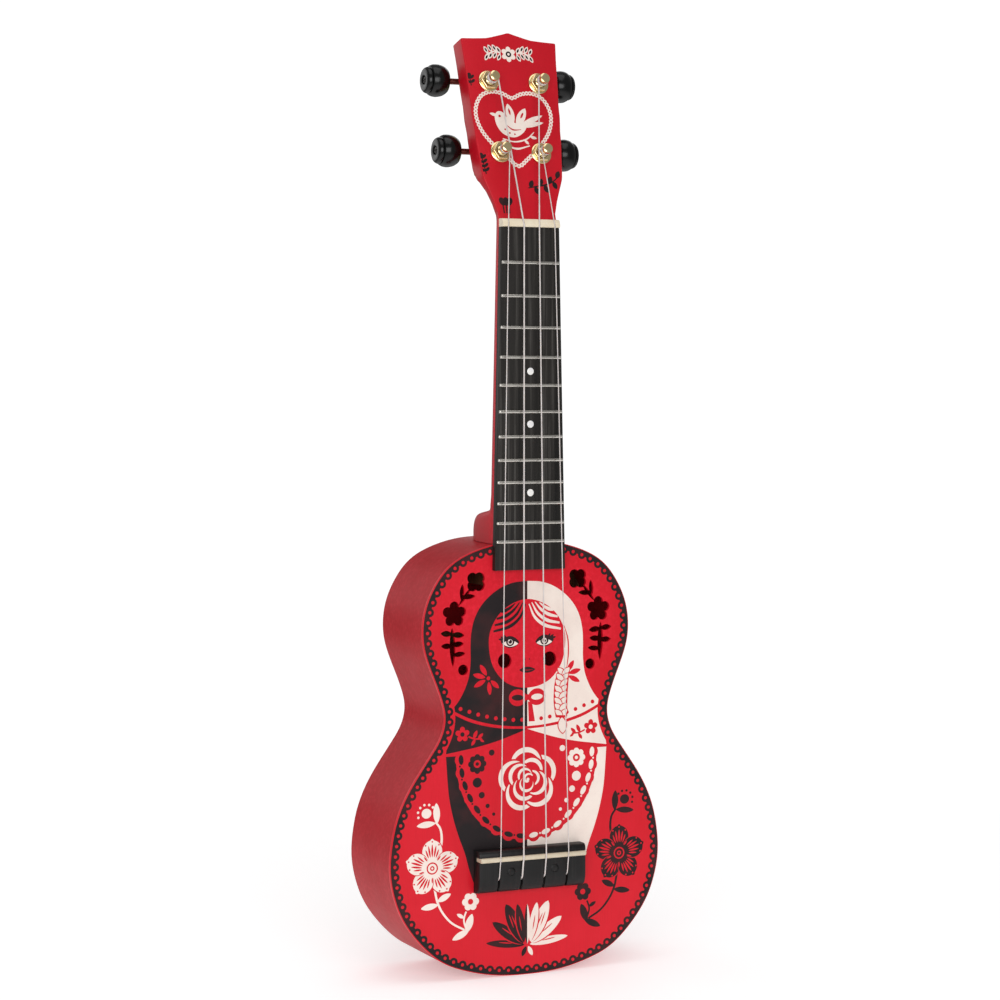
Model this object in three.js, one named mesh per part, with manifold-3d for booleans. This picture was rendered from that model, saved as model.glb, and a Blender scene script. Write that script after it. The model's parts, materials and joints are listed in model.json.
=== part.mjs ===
// Soprano ukulele: hollow figure-eight body, bolted-on geared tuners, twelve frets, four strings.
// Millimetres, +Z up. It stands on its tail end with the strings facing -Y, so that -X is on the
// left seen from the front. Origin: bottom centre of the bounding box, under the tail end.
// Pieces are built with y = 0 at the soundboard face, and the root group moves them into place.
import * as THREE from "three";
import { mergeVertices } from "three/addons/utils/BufferGeometryUtils.js";
import Module from "manifold-3d";

const wasm = await Module();
wasm.setup();

// ---------- driving dimensions ----------
const SCALE = 345; // string length that spaces the frets
const NUT_Z = 414.2; // fingerboard end of the nut
const NUT_T = 4.5;
const HEAD_Z = NUT_Z + NUT_T; // the headstock face starts behind the nut
const NUT_HALF = 17.5; // half widths of the neck at the nut and at the twelfth fret
const TWELFTH_HALF = 21.05;
const DEPTH = 58.7; // body depth over both plates
const PLATE = 2.0; // soundboard and back thickness
const RIB = 1.8; // bent side thickness
const GAP = 0.3; // clearance between fitted pieces
const FINGERBOARD_T = 4.0;
const HEAD_TILT = (14 * Math.PI) / 180;
const HEAD_T = 12.5;
const SADDLE_Z = 67.2; // 2 mm beyond the scale length
const SADDLE_TOP = 9.9; // height above the soundboard face
const STRING_LIFT = 0.04; // clearance between saddle and string

// Strings from left to right, seen from the front.
const STRINGS = [
  { radius: 0.3, nutX: -14.0, saddleX: -20.7 },
  { radius: 0.45, nutX: -4.6, saddleX: -6.9 },
  { radius: 0.4, nutX: 4.6, saddleX: 6.9 },
  { radius: 0.3, nutX: 14.0, saddleX: 20.7 },
];
const STRING_NUT_Y = -5.6; // string axis over the nut
// Tuners, one per string: post axis x and z in the headstock's frame, the side its knob is on,
// and the distance of the knob's centre from the centre line.
const TUNERS = [
  { number: 1, x: -12.35, z: 38.2, side: -1, knob: 36.1 },
  { number: 2, x: -15.15, z: 79.0, side: -1, knob: 38.6 },
  { number: 3, x: 15.15, z: 79.0, side: 1, knob: 38.6 },
  { number: 4, x: 12.35, z: 38.2, side: 1, knob: 36.1 },
];
// Centres the depth, from the front of the thickest string at the saddle to the back plate.
const THICKEST_STRING = 2 * Math.max(...STRINGS.map((string) => string.radius));
const FACE_Y = -(DEPTH - (SADDLE_TOP + STRING_LIFT + THICKEST_STRING)) / 2;

// ---------- materials ----------
const material = (color, { roughness, metalness = 0 }) =>
  new THREE.MeshStandardMaterial({ color, roughness, metalness });
const MATERIALS = {
  topRed: material(0xd8172a, { roughness: 0.5 }),
  sideRed: material(0xb5323c, { roughness: 0.55 }),
  neckRed: material(0xc01f30, { roughness: 0.5 }),
  black: material(0x26241f, { roughness: 0.55 }),
  plastic: material(0x0b0b0c, { roughness: 0.3 }),
  ivory: material(0xe9dcc0, { roughness: 0.4 }),
  gold: material(0xd9b45a, { roughness: 0.25, metalness: 1 }),
  nickel: material(0xcfcabd, { roughness: 0.3, metalness: 1 }),
  steel: material(0x3a2626, { roughness: 0.35, metalness: 1 }),
  pearl: material(0xf2f0ea, { roughness: 0.3 }),
  nylon: material(0xe6e2dc, { roughness: 0.35 }),
  spruce: material(0xd9b98a, { roughness: 0.7 }),
  basswood: material(0xe0c79d, { roughness: 0.75 }),
};

// ---------- solids ----------
const moveTo = (x, y, z) => new THREE.Matrix4().makeTranslation(x, y, z);

function solid(geometry, matrix = new THREE.Matrix4()) {
  const source = geometry.index ? geometry.toNonIndexed() : geometry;
  const bare = new THREE.BufferGeometry();
  bare.setAttribute("position", source.getAttribute("position").clone());
  const merged = mergeVertices(bare.applyMatrix4(matrix), 1e-4);
  return new wasm.Manifold(new wasm.Mesh({
    numProp: 3,
    vertProperties: new Float32Array(merged.attributes.position.array),
    triVerts: new Uint32Array(merged.index.array),
  }));
}

function flatShaded(manifold) {
  const { vertProperties, triVerts } = manifold.getMesh();
  const geometry = new THREE.BufferGeometry()
    .setAttribute("position", new THREE.Float32BufferAttribute(vertProperties, 3))
    .setIndex([...triVerts])
    .toNonIndexed();
  geometry.computeVertexNormals();
  return geometry;
}

// A box from [low, high] ranges.
function box([x0, x1], [y0, y1], [z0, z1]) {
  const centre = moveTo((x0 + x1) / 2, (y0 + y1) / 2, (z0 + z1) / 2);
  return solid(new THREE.BoxGeometry(x1 - x0, y1 - y0, z1 - z0), centre);
}
const FAR = 400; // beyond every piece
const ALL = [-FAR, FAR];
// Everything on one side of the centre line, from a distance x outwards.
const sideOf = (side, x) => box(side > 0 ? [x, FAR] : [-FAR, -x], ALL, ALL);

function rod(from, to, radius, segments) {
  const start = new THREE.Vector3(...from);
  const end = new THREE.Vector3(...to);
  const span = end.clone().sub(start);
  const turn = new THREE.Quaternion()
    .setFromUnitVectors(new THREE.Vector3(0, 1, 0), span.clone().normalize());
  const middle = start.add(end).multiplyScalar(0.5);
  const matrix = new THREE.Matrix4().compose(middle, turn, new THREE.Vector3(1, 1, 1));
  return solid(new THREE.CylinderGeometry(radius, radius, span.length(), segments), matrix);
}
const rodY = (x, z, [y0, y1], radius, segments) => rod([x, y0, z], [x, y1, z], radius, segments);

const extrude = (points, depth) => new THREE.ExtrudeGeometry(
  new THREE.Shape(points.map((p) => new THREE.Vector2(...p))), { depth, bevelEnabled: false });

// A flat outline in (x, z), extruded from depth y0 to y1.
const slab = (points, y0, y1) =>
  solid(extrude(points, y1 - y0), moveTo(0, y1, 0).multiply(new THREE.Matrix4().makeRotationX(Math.PI / 2)));

// A closed surface through rings with equal numbers of points, with flat fans at both ends.
function loft(rings) {
  const count = rings[0].length;
  const points = rings.flat();
  const faces = [];
  for (let i = 0; i + 1 < rings.length; i++) {
    for (let j = 0; j < count; j++) {
      const here = i * count + j;
      const next = i * count + ((j + 1) % count);
      faces.push([here, next, next + count], [here, next + count, here + count]);
    }
  }
  const addCap = (ring, base, reversed) => {
    const centre = points.length;
    points.push([0, 1, 2].map((axis) => ring.reduce((sum, p) => sum + p[axis], 0) / count));
    for (let j = 0; j < count; j++) {
      const edge = [base + j, base + ((j + 1) % count)];
      faces.push([centre, ...(reversed ? edge.reverse() : edge)]);
    }
  };
  addCap(rings[0], 0, true);
  addCap(rings.at(-1), (rings.length - 1) * count, false);
  const build = (index) => solid(new THREE.BufferGeometry()
    .setAttribute("position", new THREE.Float32BufferAttribute(points.flat(), 3))
    .setIndex(index));
  const result = build(faces.flat());
  // a negative volume means the surface is inside out
  return result.volume() < 0 ? build(faces.flatMap(([a, b, c]) => [a, c, b])) : result;
}
// A profile in (y, z), carried from -half to half across x.
const across = (half, profile) =>
  loft([-half, half].map((x) => profile.map(([y, z]) => [x, y, z])));

// A profile of [radius, along] from axis to axis, turned about the local +Y, then placed.
function turned(profile, segments, matrix) {
  const build = (points) => solid(
    new THREE.LatheGeometry(points.map((p) => new THREE.Vector2(...p)), segments), matrix);
  const result = build(profile);
  return result.volume() < 0 ? build([...profile].reverse()) : result;
}

// Linear interpolation in a table of [position, value] rows, held beyond both ends.
function lerpTable(table, x) {
  if (x <= table[0][0]) return table[0][1];
  const i = table.findIndex(([position]) => x <= position);
  if (i < 0) return table.at(-1)[1];
  const [a, valueA] = table[i - 1];
  const [b, valueB] = table[i];
  return valueA + ((x - a) / (b - a)) * (valueB - valueA);
}

// ---------- body outline ----------
// Right half of the outline from the tail end to the neck: [x, z].
const HALF_OUTLINE = [
  [0, 0], [21.1, 1.3], [41.7, 6.6], [52.5, 11.6], [65.4, 23.5], [75.1, 37.0], [80.1, 50.3],
  [82.3, 63.6], [81.3, 77.1], [78.3, 91.0], [72.6, 104.0], [65.8, 114.7], [61.9, 120.1],
  [56.9, 127.3], [52.0, 134.5], [49.3, 144.0], [49.3, 148.0], [53.7, 161.7], [59.0, 174.6],
  [62.6, 186.3], [62.2, 202.0], [57.4, 215.2], [46.0, 230.0], [23.1, 239.6], [0, 241.7],
];
const mirrored = (points) => points.map(([x, z]) => [-x, z]).reverse();
const OUTLINE_STEPS = 92;
const curve = new THREE.CatmullRomCurve3(
  [...HALF_OUTLINE, ...mirrored(HALF_OUTLINE.slice(1, -1))]
    .map(([x, z]) => new THREE.Vector3(x, z, 0)), true, "centripetal");
curve.arcLengthDivisions = 4000;

// The outline moved along its normals: positive is inwards.
const inset = (distance) => Array.from({ length: OUTLINE_STEPS }, (_, i) => {
  const point = curve.getPointAt(i / OUTLINE_STEPS);
  const tangent = curve.getTangentAt(i / OUTLINE_STEPS);
  return [point.x - tangent.y * distance, point.y + tangent.x * distance];
});
const outline = inset(0);

function halfWidthAt(z) {
  let widest = 0;
  outline.forEach(([x0, z0], i) => {
    const [x1, z1] = outline[(i + 1) % OUTLINE_STEPS];
    if ((z0 - z) * (z1 - z) <= 0 && z0 !== z1) {
      widest = Math.max(widest, x0 + ((z - z0) / (z1 - z0)) * (x1 - x0));
    }
  });
  return widest;
}

// ---------- sound holes: a pierced floral spray in each upper bout, and two round holes ----------
const circle = (count, centreX, centreZ, radiusAt) => Array.from({ length: count }, (_, i) => {
  const angle = (i / count) * 2 * Math.PI;
  const radius = radiusAt(angle);
  return [centreX + radius * Math.cos(angle), centreZ + radius * Math.sin(angle)];
});
const disc = (x, z, radius, count) => circle(count, x, z, () => radius);
const flower = (x, z, { petals, inner, outer, turn, count }) => circle(count, x, z, (angle) =>
  inner + (outer - inner) * Math.pow(Math.abs(Math.cos((petals * (angle - turn)) / 2)), 0.8));

// A pointed leaf from one tip to the other, with so many steps along each edge.
function leaf([x0, z0], [x1, z1], halfWidth, steps = 5) {
  const dx = x1 - x0;
  const dz = z1 - z0;
  const length = Math.hypot(dx, dz);
  const edgePoint = (i, side) => {
    const t = i / steps;
    const offset = (side * halfWidth * Math.pow(Math.sin(Math.PI * t), 0.7)) / length;
    return [x0 + dx * t + dz * offset, z0 + dz * t - dx * offset];
  };
  const points = [];
  for (let i = 0; i <= steps; i++) points.push(edgePoint(i, 1));
  for (let i = steps - 1; i > 0; i--) points.push(edgePoint(i, -1));
  return points;
}
const RIGHT_HOLES = [
  flower(31.0, 220.0, { petals: 4, inner: 4.4, outer: 6.0, turn: Math.PI / 4, count: 24 }),
  leaf([33.6, 217.2], [41.4, 207.2], 1.0, 6),
  leaf([39.7, 210.0], [39.0, 219.0], 1.35),
  leaf([40.0, 211.8], [31.4, 212.2], 1.45),
  flower(43.9, 202.6, { petals: 5, inner: 4.8, outer: 7.1, turn: Math.PI / 2, count: 30 }),
  leaf([45.3, 195.4], [44.8, 173.8], 1.7, 6),
  leaf([45.2, 191.8], [52.0, 192.4], 1.65),
  leaf([45.4, 191.6], [38.0, 190.8], 1.65),
  leaf([45.0, 185.2], [51.8, 185.4], 1.6),
  leaf([45.4, 185.8], [38.4, 186.4], 1.6),
  leaf([45.0, 180.2], [37.4, 181.0], 1.45),
  disc(38.75, 171.9, 2.95, 16),
  disc(13.7, 175.8, 4.1, 20),
];
function soundboard() {
  let board = slab(outline, 0, PLATE);
  for (const hole of RIGHT_HOLES.flatMap((points) => [points, mirrored(points)])) {
    board = board.subtract(slab(hole, -1, PLATE + 1));
  }
  return board;
}

// ---------- body frame ----------
const BACK_Y = DEPTH - PLATE; // inner face of the back plate
const DOWEL_R = 4.0;
const dowelRod = (z0, z1, radius) => rod([0, 24, z0], [0, 24, z1], radius, 16);
const dowelBore = (z0, z1) => dowelRod(z0, z1, DOWEL_R + GAP);
const NECK_BLOCK = { half: 22, bottom: 217 };
const TAIL_BLOCK = { half: 25, top: 16 };
const LINING_T = 4.5;
const LINING_H = 6.0;

function rib(side) {
  return slab(outline, PLATE, BACK_Y)
    .subtract(slab(inset(RIB), PLATE - 1, DEPTH))
    .subtract(dowelBore(219, 260))
    .intersect(sideOf(side, 0.05));
}
const cavity = (y0, y1) => slab(inset(RIB + GAP), y0, y1);
function neckBlock() {
  const { half, bottom } = NECK_BLOCK;
  return cavity(PLATE, BACK_Y)
    .intersect(box([-half, half], ALL, [bottom, FAR]))
    .subtract(dowelBore(219, 260));
}
function tailBlock() {
  const { half, top } = TAIL_BLOCK;
  return cavity(PLATE, BACK_Y).intersect(box([-half, half], ALL, [-FAR, top]));
}
// A strip inside one rib, cut clear of the neck and tail blocks.
function lining(y0, side) {
  const y1 = y0 + LINING_H;
  const neckCut = NECK_BLOCK.half + GAP;
  const tailCut = TAIL_BLOCK.half + GAP;
  return cavity(y0, y1)
    .subtract(slab(inset(RIB + GAP + LINING_T), y0 - 1, y1 + 1))
    .intersect(sideOf(side, 0.5))
    .subtract(box([-neckCut, neckCut], ALL, [NECK_BLOCK.bottom - 1, FAR]))
    .subtract(box([-tailCut, tailCut], ALL, [-FAR, 60]));
}

const BRACE_HALF_T = 3;
// Centre z, height from the plate, the plate's inner face, and the y direction into the body.
const BRACES = [
  { name: "front_upper", z: 162, height: 7, plateY: PLATE, inwards: 1 },
  { name: "front_lower", z: 100, height: 7, plateY: PLATE, inwards: 1 },
  { name: "back_upper", z: 185, height: 7.5, plateY: BACK_Y, inwards: -1 },
  { name: "back_lower", z: 70, height: 7.5, plateY: BACK_Y, inwards: -1 },
];
// A brace across the body between the linings, with sloping ends.
function brace({ z, height, plateY, inwards }) {
  const faces = [z - BRACE_HALF_T, z + BRACE_HALF_T];
  const half = Math.min(...[z, ...faces].map(halfWidthAt)) - RIB - GAP - LINING_T - 1.2;
  const full = half - 14; // where the full height starts
  const profile = [[-half, 0], [half, 0], [half, 2], [full, height], [-full, height], [-half, 2]];
  return loft(faces.map((faceZ) => profile.map(([x, h]) => [x, plateY + inwards * h, faceZ])));
}

// ---------- neck, heel and headstock in one piece ----------
const halfNeck = (z) => NUT_HALF + ((NUT_Z - z) / (SCALE / 2)) * (TWELFTH_HALF - NUT_HALF);
const HEEL_HALF = 20;
const HEEL_TOP_Z = 259;
const NECK_STATIONS = [
  236, 246, 249, 252, 254.5, 256, 257, 258, 259, 261.5, 266, 300, 340, 380, 404, 412, 415.5,
];
// [z, depth behind the soundboard face's plane]
const NECK_DEPTH = [
  [236, 48], [246, 48], [249, 47.4], [252, 45.6], [254.5, 42], [256, 37], [257, 31], [258, 23],
  [259, 17.6], [261.5, 15.7], [275, 15.5], [330, 14.8], [395, 13.8], [412, 13.5], [416.5, 13.4],
];
// [z, superellipse power of the section]: 2 is an ellipse, and higher is squarer
const NECK_POWER = [[236, 3.0], [256, 3.0], [259, 2.5], [266, 2.15], [416.5, 2.15]];
// [distance up the headstock, half width]
const HEAD_HALF = [
  [3.6, 17.4], [7.1, 18.4], [10.5, 19.3], [14, 20.5], [17.6, 21.8], [21.1, 23.1], [24.6, 24.2],
  [28.1, 24.6], [35.1, 25.1], [45.6, 26.0], [52.6, 26.2], [59.7, 26.9], [66.7, 26.9],
  [73.8, 27.4], [82.0, 27.8], [91.5, 28.2], [103.5, 29.0], [103.7, 28.8], [104.0, 22.0],
  [104.5, 14.0], [105.3, 10.6], [106.2, 7.4], [107.2, 3.8], [108.2, 0.6],
];
const HEAD_DEPTH = [[0, 12.9], [14, HEAD_T]];
// rounded like the neck near the nut, square-edged above
const HEAD_POWER = [[0, 2.25], [10, 2.35], [18, 2.8], [23, 4.2], [28, 10], [32, 24]];

// The headstock's own frame: x across, y behind the face, z up the headstock.
const headMatrix = moveTo(0, 0, HEAD_Z).multiply(new THREE.Matrix4().makeRotationX(-HEAD_TILT));
const fromHead = (x, y, z) => new THREE.Vector3(x, y, z).applyMatrix4(headMatrix).toArray();

// A D-shaped ring, flat in front; place turns (x, depth) into a point.
const SECTION_STEPS = 18;
function dSection(halfWidth, depth, power, place) {
  return Array.from({ length: SECTION_STEPS + 1 }, (_, i) => {
    const angle = (i / SECTION_STEPS) * Math.PI;
    const c = Math.cos(angle);
    const s = Math.sin(angle);
    return place(halfWidth * Math.sign(c) * Math.pow(Math.abs(c), 2 / power),
      depth * Math.pow(Math.abs(s), 2 / power));
  });
}
function neck() {
  const neckSections = NECK_STATIONS.map((z) => dSection(
    z < HEEL_TOP_Z ? HEEL_HALF : halfNeck(Math.min(z, NUT_Z)),
    lerpTable(NECK_DEPTH, z), lerpTable(NECK_POWER, z), (x, depth) => [x, depth, z]));
  // where the neck turns back into the headstock
  const bend = HEAD_TILT / 2;
  const bendSection = dSection(NUT_HALF, 13.0, 2.2,
    (x, depth) => [x, depth * Math.cos(bend), HEAD_Z - depth * Math.sin(bend)]);
  const headSections = HEAD_HALF.map(([z, half]) => dSection(
    half, lerpTable(HEAD_DEPTH, z), lerpTable(HEAD_POWER, z), (x, depth) => fromHead(x, depth, z)));
  let result = loft([...neckSections, bendSection, ...headSections]);
  for (const { x, z } of TUNERS) {
    result = result.subtract(rodY(x, z, [-5, 30], 4.5, 20).transform(headMatrix.toArray()));
  }
  return result.subtract(slab(inset(-GAP), -5, DEPTH + 5)).subtract(dowelBore(235, 255));
}

// ---------- fingerboard, frets, dots ----------
const FINGERBOARD_END_Z = 226.0;
const FRET_COUNT = 12;
const FRET_CROWN = 1.0;
const FRET_SLOT = { half: 0.35, depth: 1.6 };
// Right half of the crown from base to top, front being negative: [along z, y].
const CROWN = [[1.0, 0], [0.92, -0.45], [0.62, -0.83], [0.22, -FRET_CROWN]];
const FRET_PROFILE = [
  [-0.25, 1.4], [0.25, 1.4], [0.25, 0], // tang
  ...CROWN, ...mirrored(CROWN), [-0.25, 0],
];
const DOT_FRETS = [5, 7, 10];
const fretZ = (n) => NUT_Z - SCALE * (1 - Math.pow(2, -n / 12));
const dotZ = (n) => (fretZ(n) + fretZ(n - 1)) / 2;

function fingerboard() {
  const endHalf = halfNeck(FINGERBOARD_END_Z);
  let board = slab([
    [-endHalf, FINGERBOARD_END_Z], [endHalf, FINGERBOARD_END_Z],
    [NUT_HALF, NUT_Z], [-NUT_HALF, NUT_Z],
  ], -FINGERBOARD_T, 0);
  const cutTo = (depth) => [-FINGERBOARD_T - 1, -FINGERBOARD_T + depth];
  for (let n = 1; n <= FRET_COUNT; n++) {
    const slotZ = [fretZ(n) - FRET_SLOT.half, fretZ(n) + FRET_SLOT.half];
    board = board.subtract(box([-30, 30], cutTo(FRET_SLOT.depth), slotZ));
  }
  for (const n of DOT_FRETS) board = board.subtract(rodY(0, dotZ(n), cutTo(1.4), 2.15, 24));
  return board;
}
function fret(n) {
  const half = halfNeck(fretZ(n)) - 0.35;
  // profile x runs along z, profile y along y, and the extrusion along -x
  const basis = new THREE.Matrix4().makeBasis(
    new THREE.Vector3(0, 0, 1), new THREE.Vector3(0, 1, 0), new THREE.Vector3(-1, 0, 0));
  const matrix = moveTo(half, -FINGERBOARD_T - 0.02, 0).multiply(basis);
  return solid(extrude(FRET_PROFILE, 2 * half), matrix);
}
const markerDot = () => rodY(0, 0, [-FINGERBOARD_T, -FINGERBOARD_T + 1.2], 2.0, 24);

// ---------- nut ----------
const POST_WAIST_R = 2.0;
const coilRadius = (string) => POST_WAIST_R + 0.3 + string.radius; // string axis round the post
const NUT_TOP_Y = -5.8;
const NUT_BREAK_Z = NUT_Z + 0.9; // where the strings turn down towards the headstock
const NUT_PROFILE = [ // [y, z]
  [0, NUT_Z + 0.02], [0, HEAD_Z], [-4.3, HEAD_Z], [-5.4, NUT_Z + 3.1],
  [NUT_TOP_Y, NUT_Z + 1.7], [NUT_TOP_Y, NUT_Z + 0.4], [-5.4, NUT_Z + 0.02],
];
// The slot's floor falls away towards the headstock, and its sides turn towards the post.
function nutSlot(string, tuner) {
  const half = string.radius + 0.1;
  const floor = STRING_NUT_Y + string.radius + 0.08;
  const startZ = NUT_Z - 1;
  const endZ = HEAD_Z + 1;
  const run = endZ - NUT_BREAK_Z;
  const coilX = tuner.x - tuner.side * coilRadius(string);
  const endX = string.nutX + (run * (coilX - string.nutX)) / (tuner.z + 3);
  const wall = (side) => {
    const near = string.nutX + side * half;
    const far = endX + side * (half + 0.05);
    return [
      [near, -9, startZ], [near, floor, startZ], [near, floor, NUT_BREAK_Z],
      [far, floor + 0.23 * run, endZ], [far, -9, endZ], [near, -9, NUT_BREAK_Z],
    ];
  };
  return loft([wall(-1), wall(1)]);
}
const nut = () => STRINGS.reduce(
  (result, string, i) => result.subtract(nutSlot(string, TUNERS[i])),
  across(NUT_HALF - 0.2, NUT_PROFILE));

// ---------- bridge and saddle ----------
const BRIDGE_TOP_Y = -8.0;
const SLOT_END_Z = 57.0; // upper end of the string slots
const KNOT_Y = -3.2;
const BRIDGE_PROFILE = [ // [y, z]
  [0, 72.2], [-6.2, 72.2], [-7.5, 71.3], [BRIDGE_TOP_Y, 69.9], [BRIDGE_TOP_Y, 55.5],
  [-7.4, 52], [-5.8, 49.6], [-3.8, 48.5], [0, 48.5],
];
const SADDLE_PROFILE = [ // [y, z from the saddle's centre]
  [-3.1, -1.3], [-3.1, 1.3], [-9.1, 1.3], [-9.7, 0.8], [-SADDLE_TOP, 0], [-9.7, -0.8], [-9.1, -1.3],
];
const SCREW_RECESS = { x: 13.2, z: 60.0, radius: 2.3, floor: -7.2 };

function bridge() {
  let result = across(32.5, BRIDGE_PROFILE)
    .subtract(box(ALL, [-20, -3.0], [SADDLE_Z - 1.35, SADDLE_Z + 1.35]));
  for (const { saddleX: x } of STRINGS) {
    result = result
      .subtract(box([x - 0.65, x + 0.65], [-20, -1.6], [40, SLOT_END_Z]))
      .subtract(rod([x, KNOT_Y, 40], [x, KNOT_Y, 53.4], 1.45, 12)); // knot pocket
  }
  const { x, z, radius, floor } = SCREW_RECESS;
  for (const side of [-1, 1]) {
    result = result.subtract(rodY(side * x, z, [-20, floor], radius, 20));
  }
  return result;
}
const saddle = () => across(32, SADDLE_PROFILE.map(([y, z]) => [y, SADDLE_Z + z]));

// ---------- strings ----------
const STRING_SIDES = 6;
const COIL_TURNS = 2.25;
const COIL_STEPS = 12; // per turn
const COIL_TOP = 7.4; // start of the coil, in front of the headstock face

// A tube through stations of [point, radius], its sides carried along without twisting.
function tube(stations) {
  const points = stations.map(([point]) => new THREE.Vector3(...point));
  let normal = null;
  return loft(points.map((point, i) => {
    const tangent = new THREE.Vector3();
    if (i > 0) tangent.add(point.clone().sub(points[i - 1]).normalize());
    if (i + 1 < points.length) tangent.add(points[i + 1].clone().sub(point).normalize());
    tangent.normalize();
    normal ??= new THREE.Vector3(1, 0, 0).cross(tangent).normalize();
    normal.sub(tangent.clone().multiplyScalar(normal.dot(tangent))).normalize();
    const binormal = tangent.clone().cross(normal);
    const radius = stations[i][1];
    return Array.from({ length: STRING_SIDES }, (_, k) => {
      const angle = (k / STRING_SIDES) * 2 * Math.PI;
      return point.clone().addScaledVector(normal, Math.cos(angle) * radius)
        .addScaledVector(binormal, Math.sin(angle) * radius).toArray();
    });
  }));
}
function stringSolid(string, tuner) {
  const { radius, nutX, saddleX } = string;
  const edgeY = BRIDGE_TOP_Y - radius - 0.15;
  const saddleY = -(SADDLE_TOP + radius + STRING_LIFT);
  // the knot in its pocket, up the slot, over the bridge's edge, the saddle and the nut
  const stations = [
    [[saddleX, KNOT_Y, 50.2], 0.4],
    [[saddleX, KNOT_Y, 50.6], 1.1],
    [[saddleX, KNOT_Y, 52.0], 1.1],
    [[saddleX, -3.3, 52.5], radius],
    [[saddleX, edgeY + 1.6, SLOT_END_Z - radius - 0.9], radius],
    [[saddleX, edgeY, SLOT_END_Z - 0.2], radius],
    [[saddleX, saddleY, SADDLE_Z - 0.5], radius],
    [[saddleX, saddleY, SADDLE_Z + 0.5], radius],
    [[nutX, STRING_NUT_Y, NUT_Z + 0.2], radius],
    [[nutX, STRING_NUT_Y, NUT_BREAK_Z], radius],
  ];
  // then straight to the post's inner side, and down the post in a close coil
  const coil = coilRadius(string);
  const inner = -tuner.side;
  const dx = tuner.x - nutX;
  const start = Math.atan2(tuner.z, dx) + Math.PI
    + inner * Math.acos(coil / Math.hypot(dx, tuner.z));
  for (let k = 0; k <= Math.round(COIL_TURNS * COIL_STEPS); k++) {
    const turns = k / COIL_STEPS;
    const angle = start + inner * turns * 2 * Math.PI;
    const y = -(COIL_TOP - turns * (2 * radius + 0.12));
    const x = tuner.x + coil * Math.cos(angle);
    stations.push([fromHead(x, y, tuner.z + coil * Math.sin(angle)), radius]);
  }
  return tube(stations);
}

// ---------- geared tuners, in the headstock's frame ----------
const POST_R = 2.95;
const POST_TIP = 10.3; // in front of the headstock face
const GEAR = { teeth: 14, pitchR: 3.85, outerR: 4.3, rootR: 3.15, halfT: 1.5 };
const WORM = { pitchR: 2.45, outerR: 2.9, rootR: 1.75, turns: 4, steps: 9 }; // steps per turn
const WORM_DEPTH = 19.0; // worm axis behind the headstock face
const LEAD = (2 * Math.PI * GEAR.pitchR) / GEAR.teeth; // single-start right-hand worm
// radians the teeth turn per mm of face width
const GEAR_SLANT = LEAD / (2 * Math.PI * WORM.pitchR) / GEAR.pitchR;
const KNOB_BASE = 6.7; // inner end of the knob, from its centre
const SHAFT_TIP_R = 1.2;
const POST_PROFILE = [ // [radius, y]
  [0, -POST_TIP], [2.4, -POST_TIP], [POST_R, -POST_TIP + 0.5], [POST_R, -8.6],
  [POST_WAIST_R, -8.1], [POST_WAIST_R, -3.8], [POST_R, -3.3], [POST_R, 16.9],
  [2.4, 17.2], [2.4, 22.4], [0, 22.4],
];
const BUSHING_PROFILE = [ // [radius, y]
  [0, -1.4], [5.6, -1.4], [6.0, -1.0], [6.0, -0.3], [4.15, -0.3], [4.15, 12.0], [0, 12.0],
];
const KNOB_PROFILE = [ // [radius, distance outwards from the knob's centre]
  [0, -KNOB_BASE], [5.9, -KNOB_BASE], [7.3, -5.7], [8.5, -3.6], [9.1, -0.8], [8.9, 1.8],
  [7.9, 4.1], [6.2, 5.8], [4.9, 6.4], [4.4, 6.9], [0, 7.1],
];
const wormZ = (tuner) => tuner.z + GEAR.pitchR + WORM.pitchR;
// The knob's centre, outwards from the post axis.
const knobReach = (tuner) => tuner.knob - Math.abs(tuner.x);
// A rod on the worm axis between two distances outwards from the post axis.
function wormRod(tuner, from, to, radius, segments) {
  const point = (reach) => [tuner.x + tuner.side * reach, WORM_DEPTH, wormZ(tuner)];
  return rod(point(from), point(to), radius, segments);
}

function bushing({ x, z }) {
  return turned(BUSHING_PROFILE, 18, moveTo(x, 0, z))
    .add(rodY(x, z, [-3.2, -1.3], 5.4, 6)) // hexagon
    .subtract(rodY(x, z, [-10, 20], POST_R + 0.18, 18));
}
function gearRing({ x, z }, dy) {
  const step = (2 * Math.PI) / GEAR.teeth;
  // each tooth: [angle from its middle, radius]
  const tooth = [
    [-0.085, GEAR.rootR], [-0.05, GEAR.outerR], [0.05, GEAR.outerR], [0.085, GEAR.rootR],
  ];
  return Array.from({ length: GEAR.teeth }, (_, k) => {
    // a gap faces the worm, and the teeth slant to follow its thread
    const middle = Math.PI / 2 + step / 2 + k * step - dy * GEAR_SLANT;
    return tooth.map(([turn, radius]) => [
      x + radius * Math.cos(middle + turn), WORM_DEPTH + dy, z + radius * Math.sin(middle + turn),
    ]);
  }).flat();
}
function post(tuner) {
  const { x, z } = tuner;
  return turned(POST_PROFILE, 16, moveTo(x, 0, z))
    .add(loft([-GEAR.halfT, GEAR.halfT].map((dy) => gearRing(tuner, dy))))
    .subtract(rod([x - 6, -7.0, z], [x + 6, -7.0, z], 0.7, 8)); // cross hole
}
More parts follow.
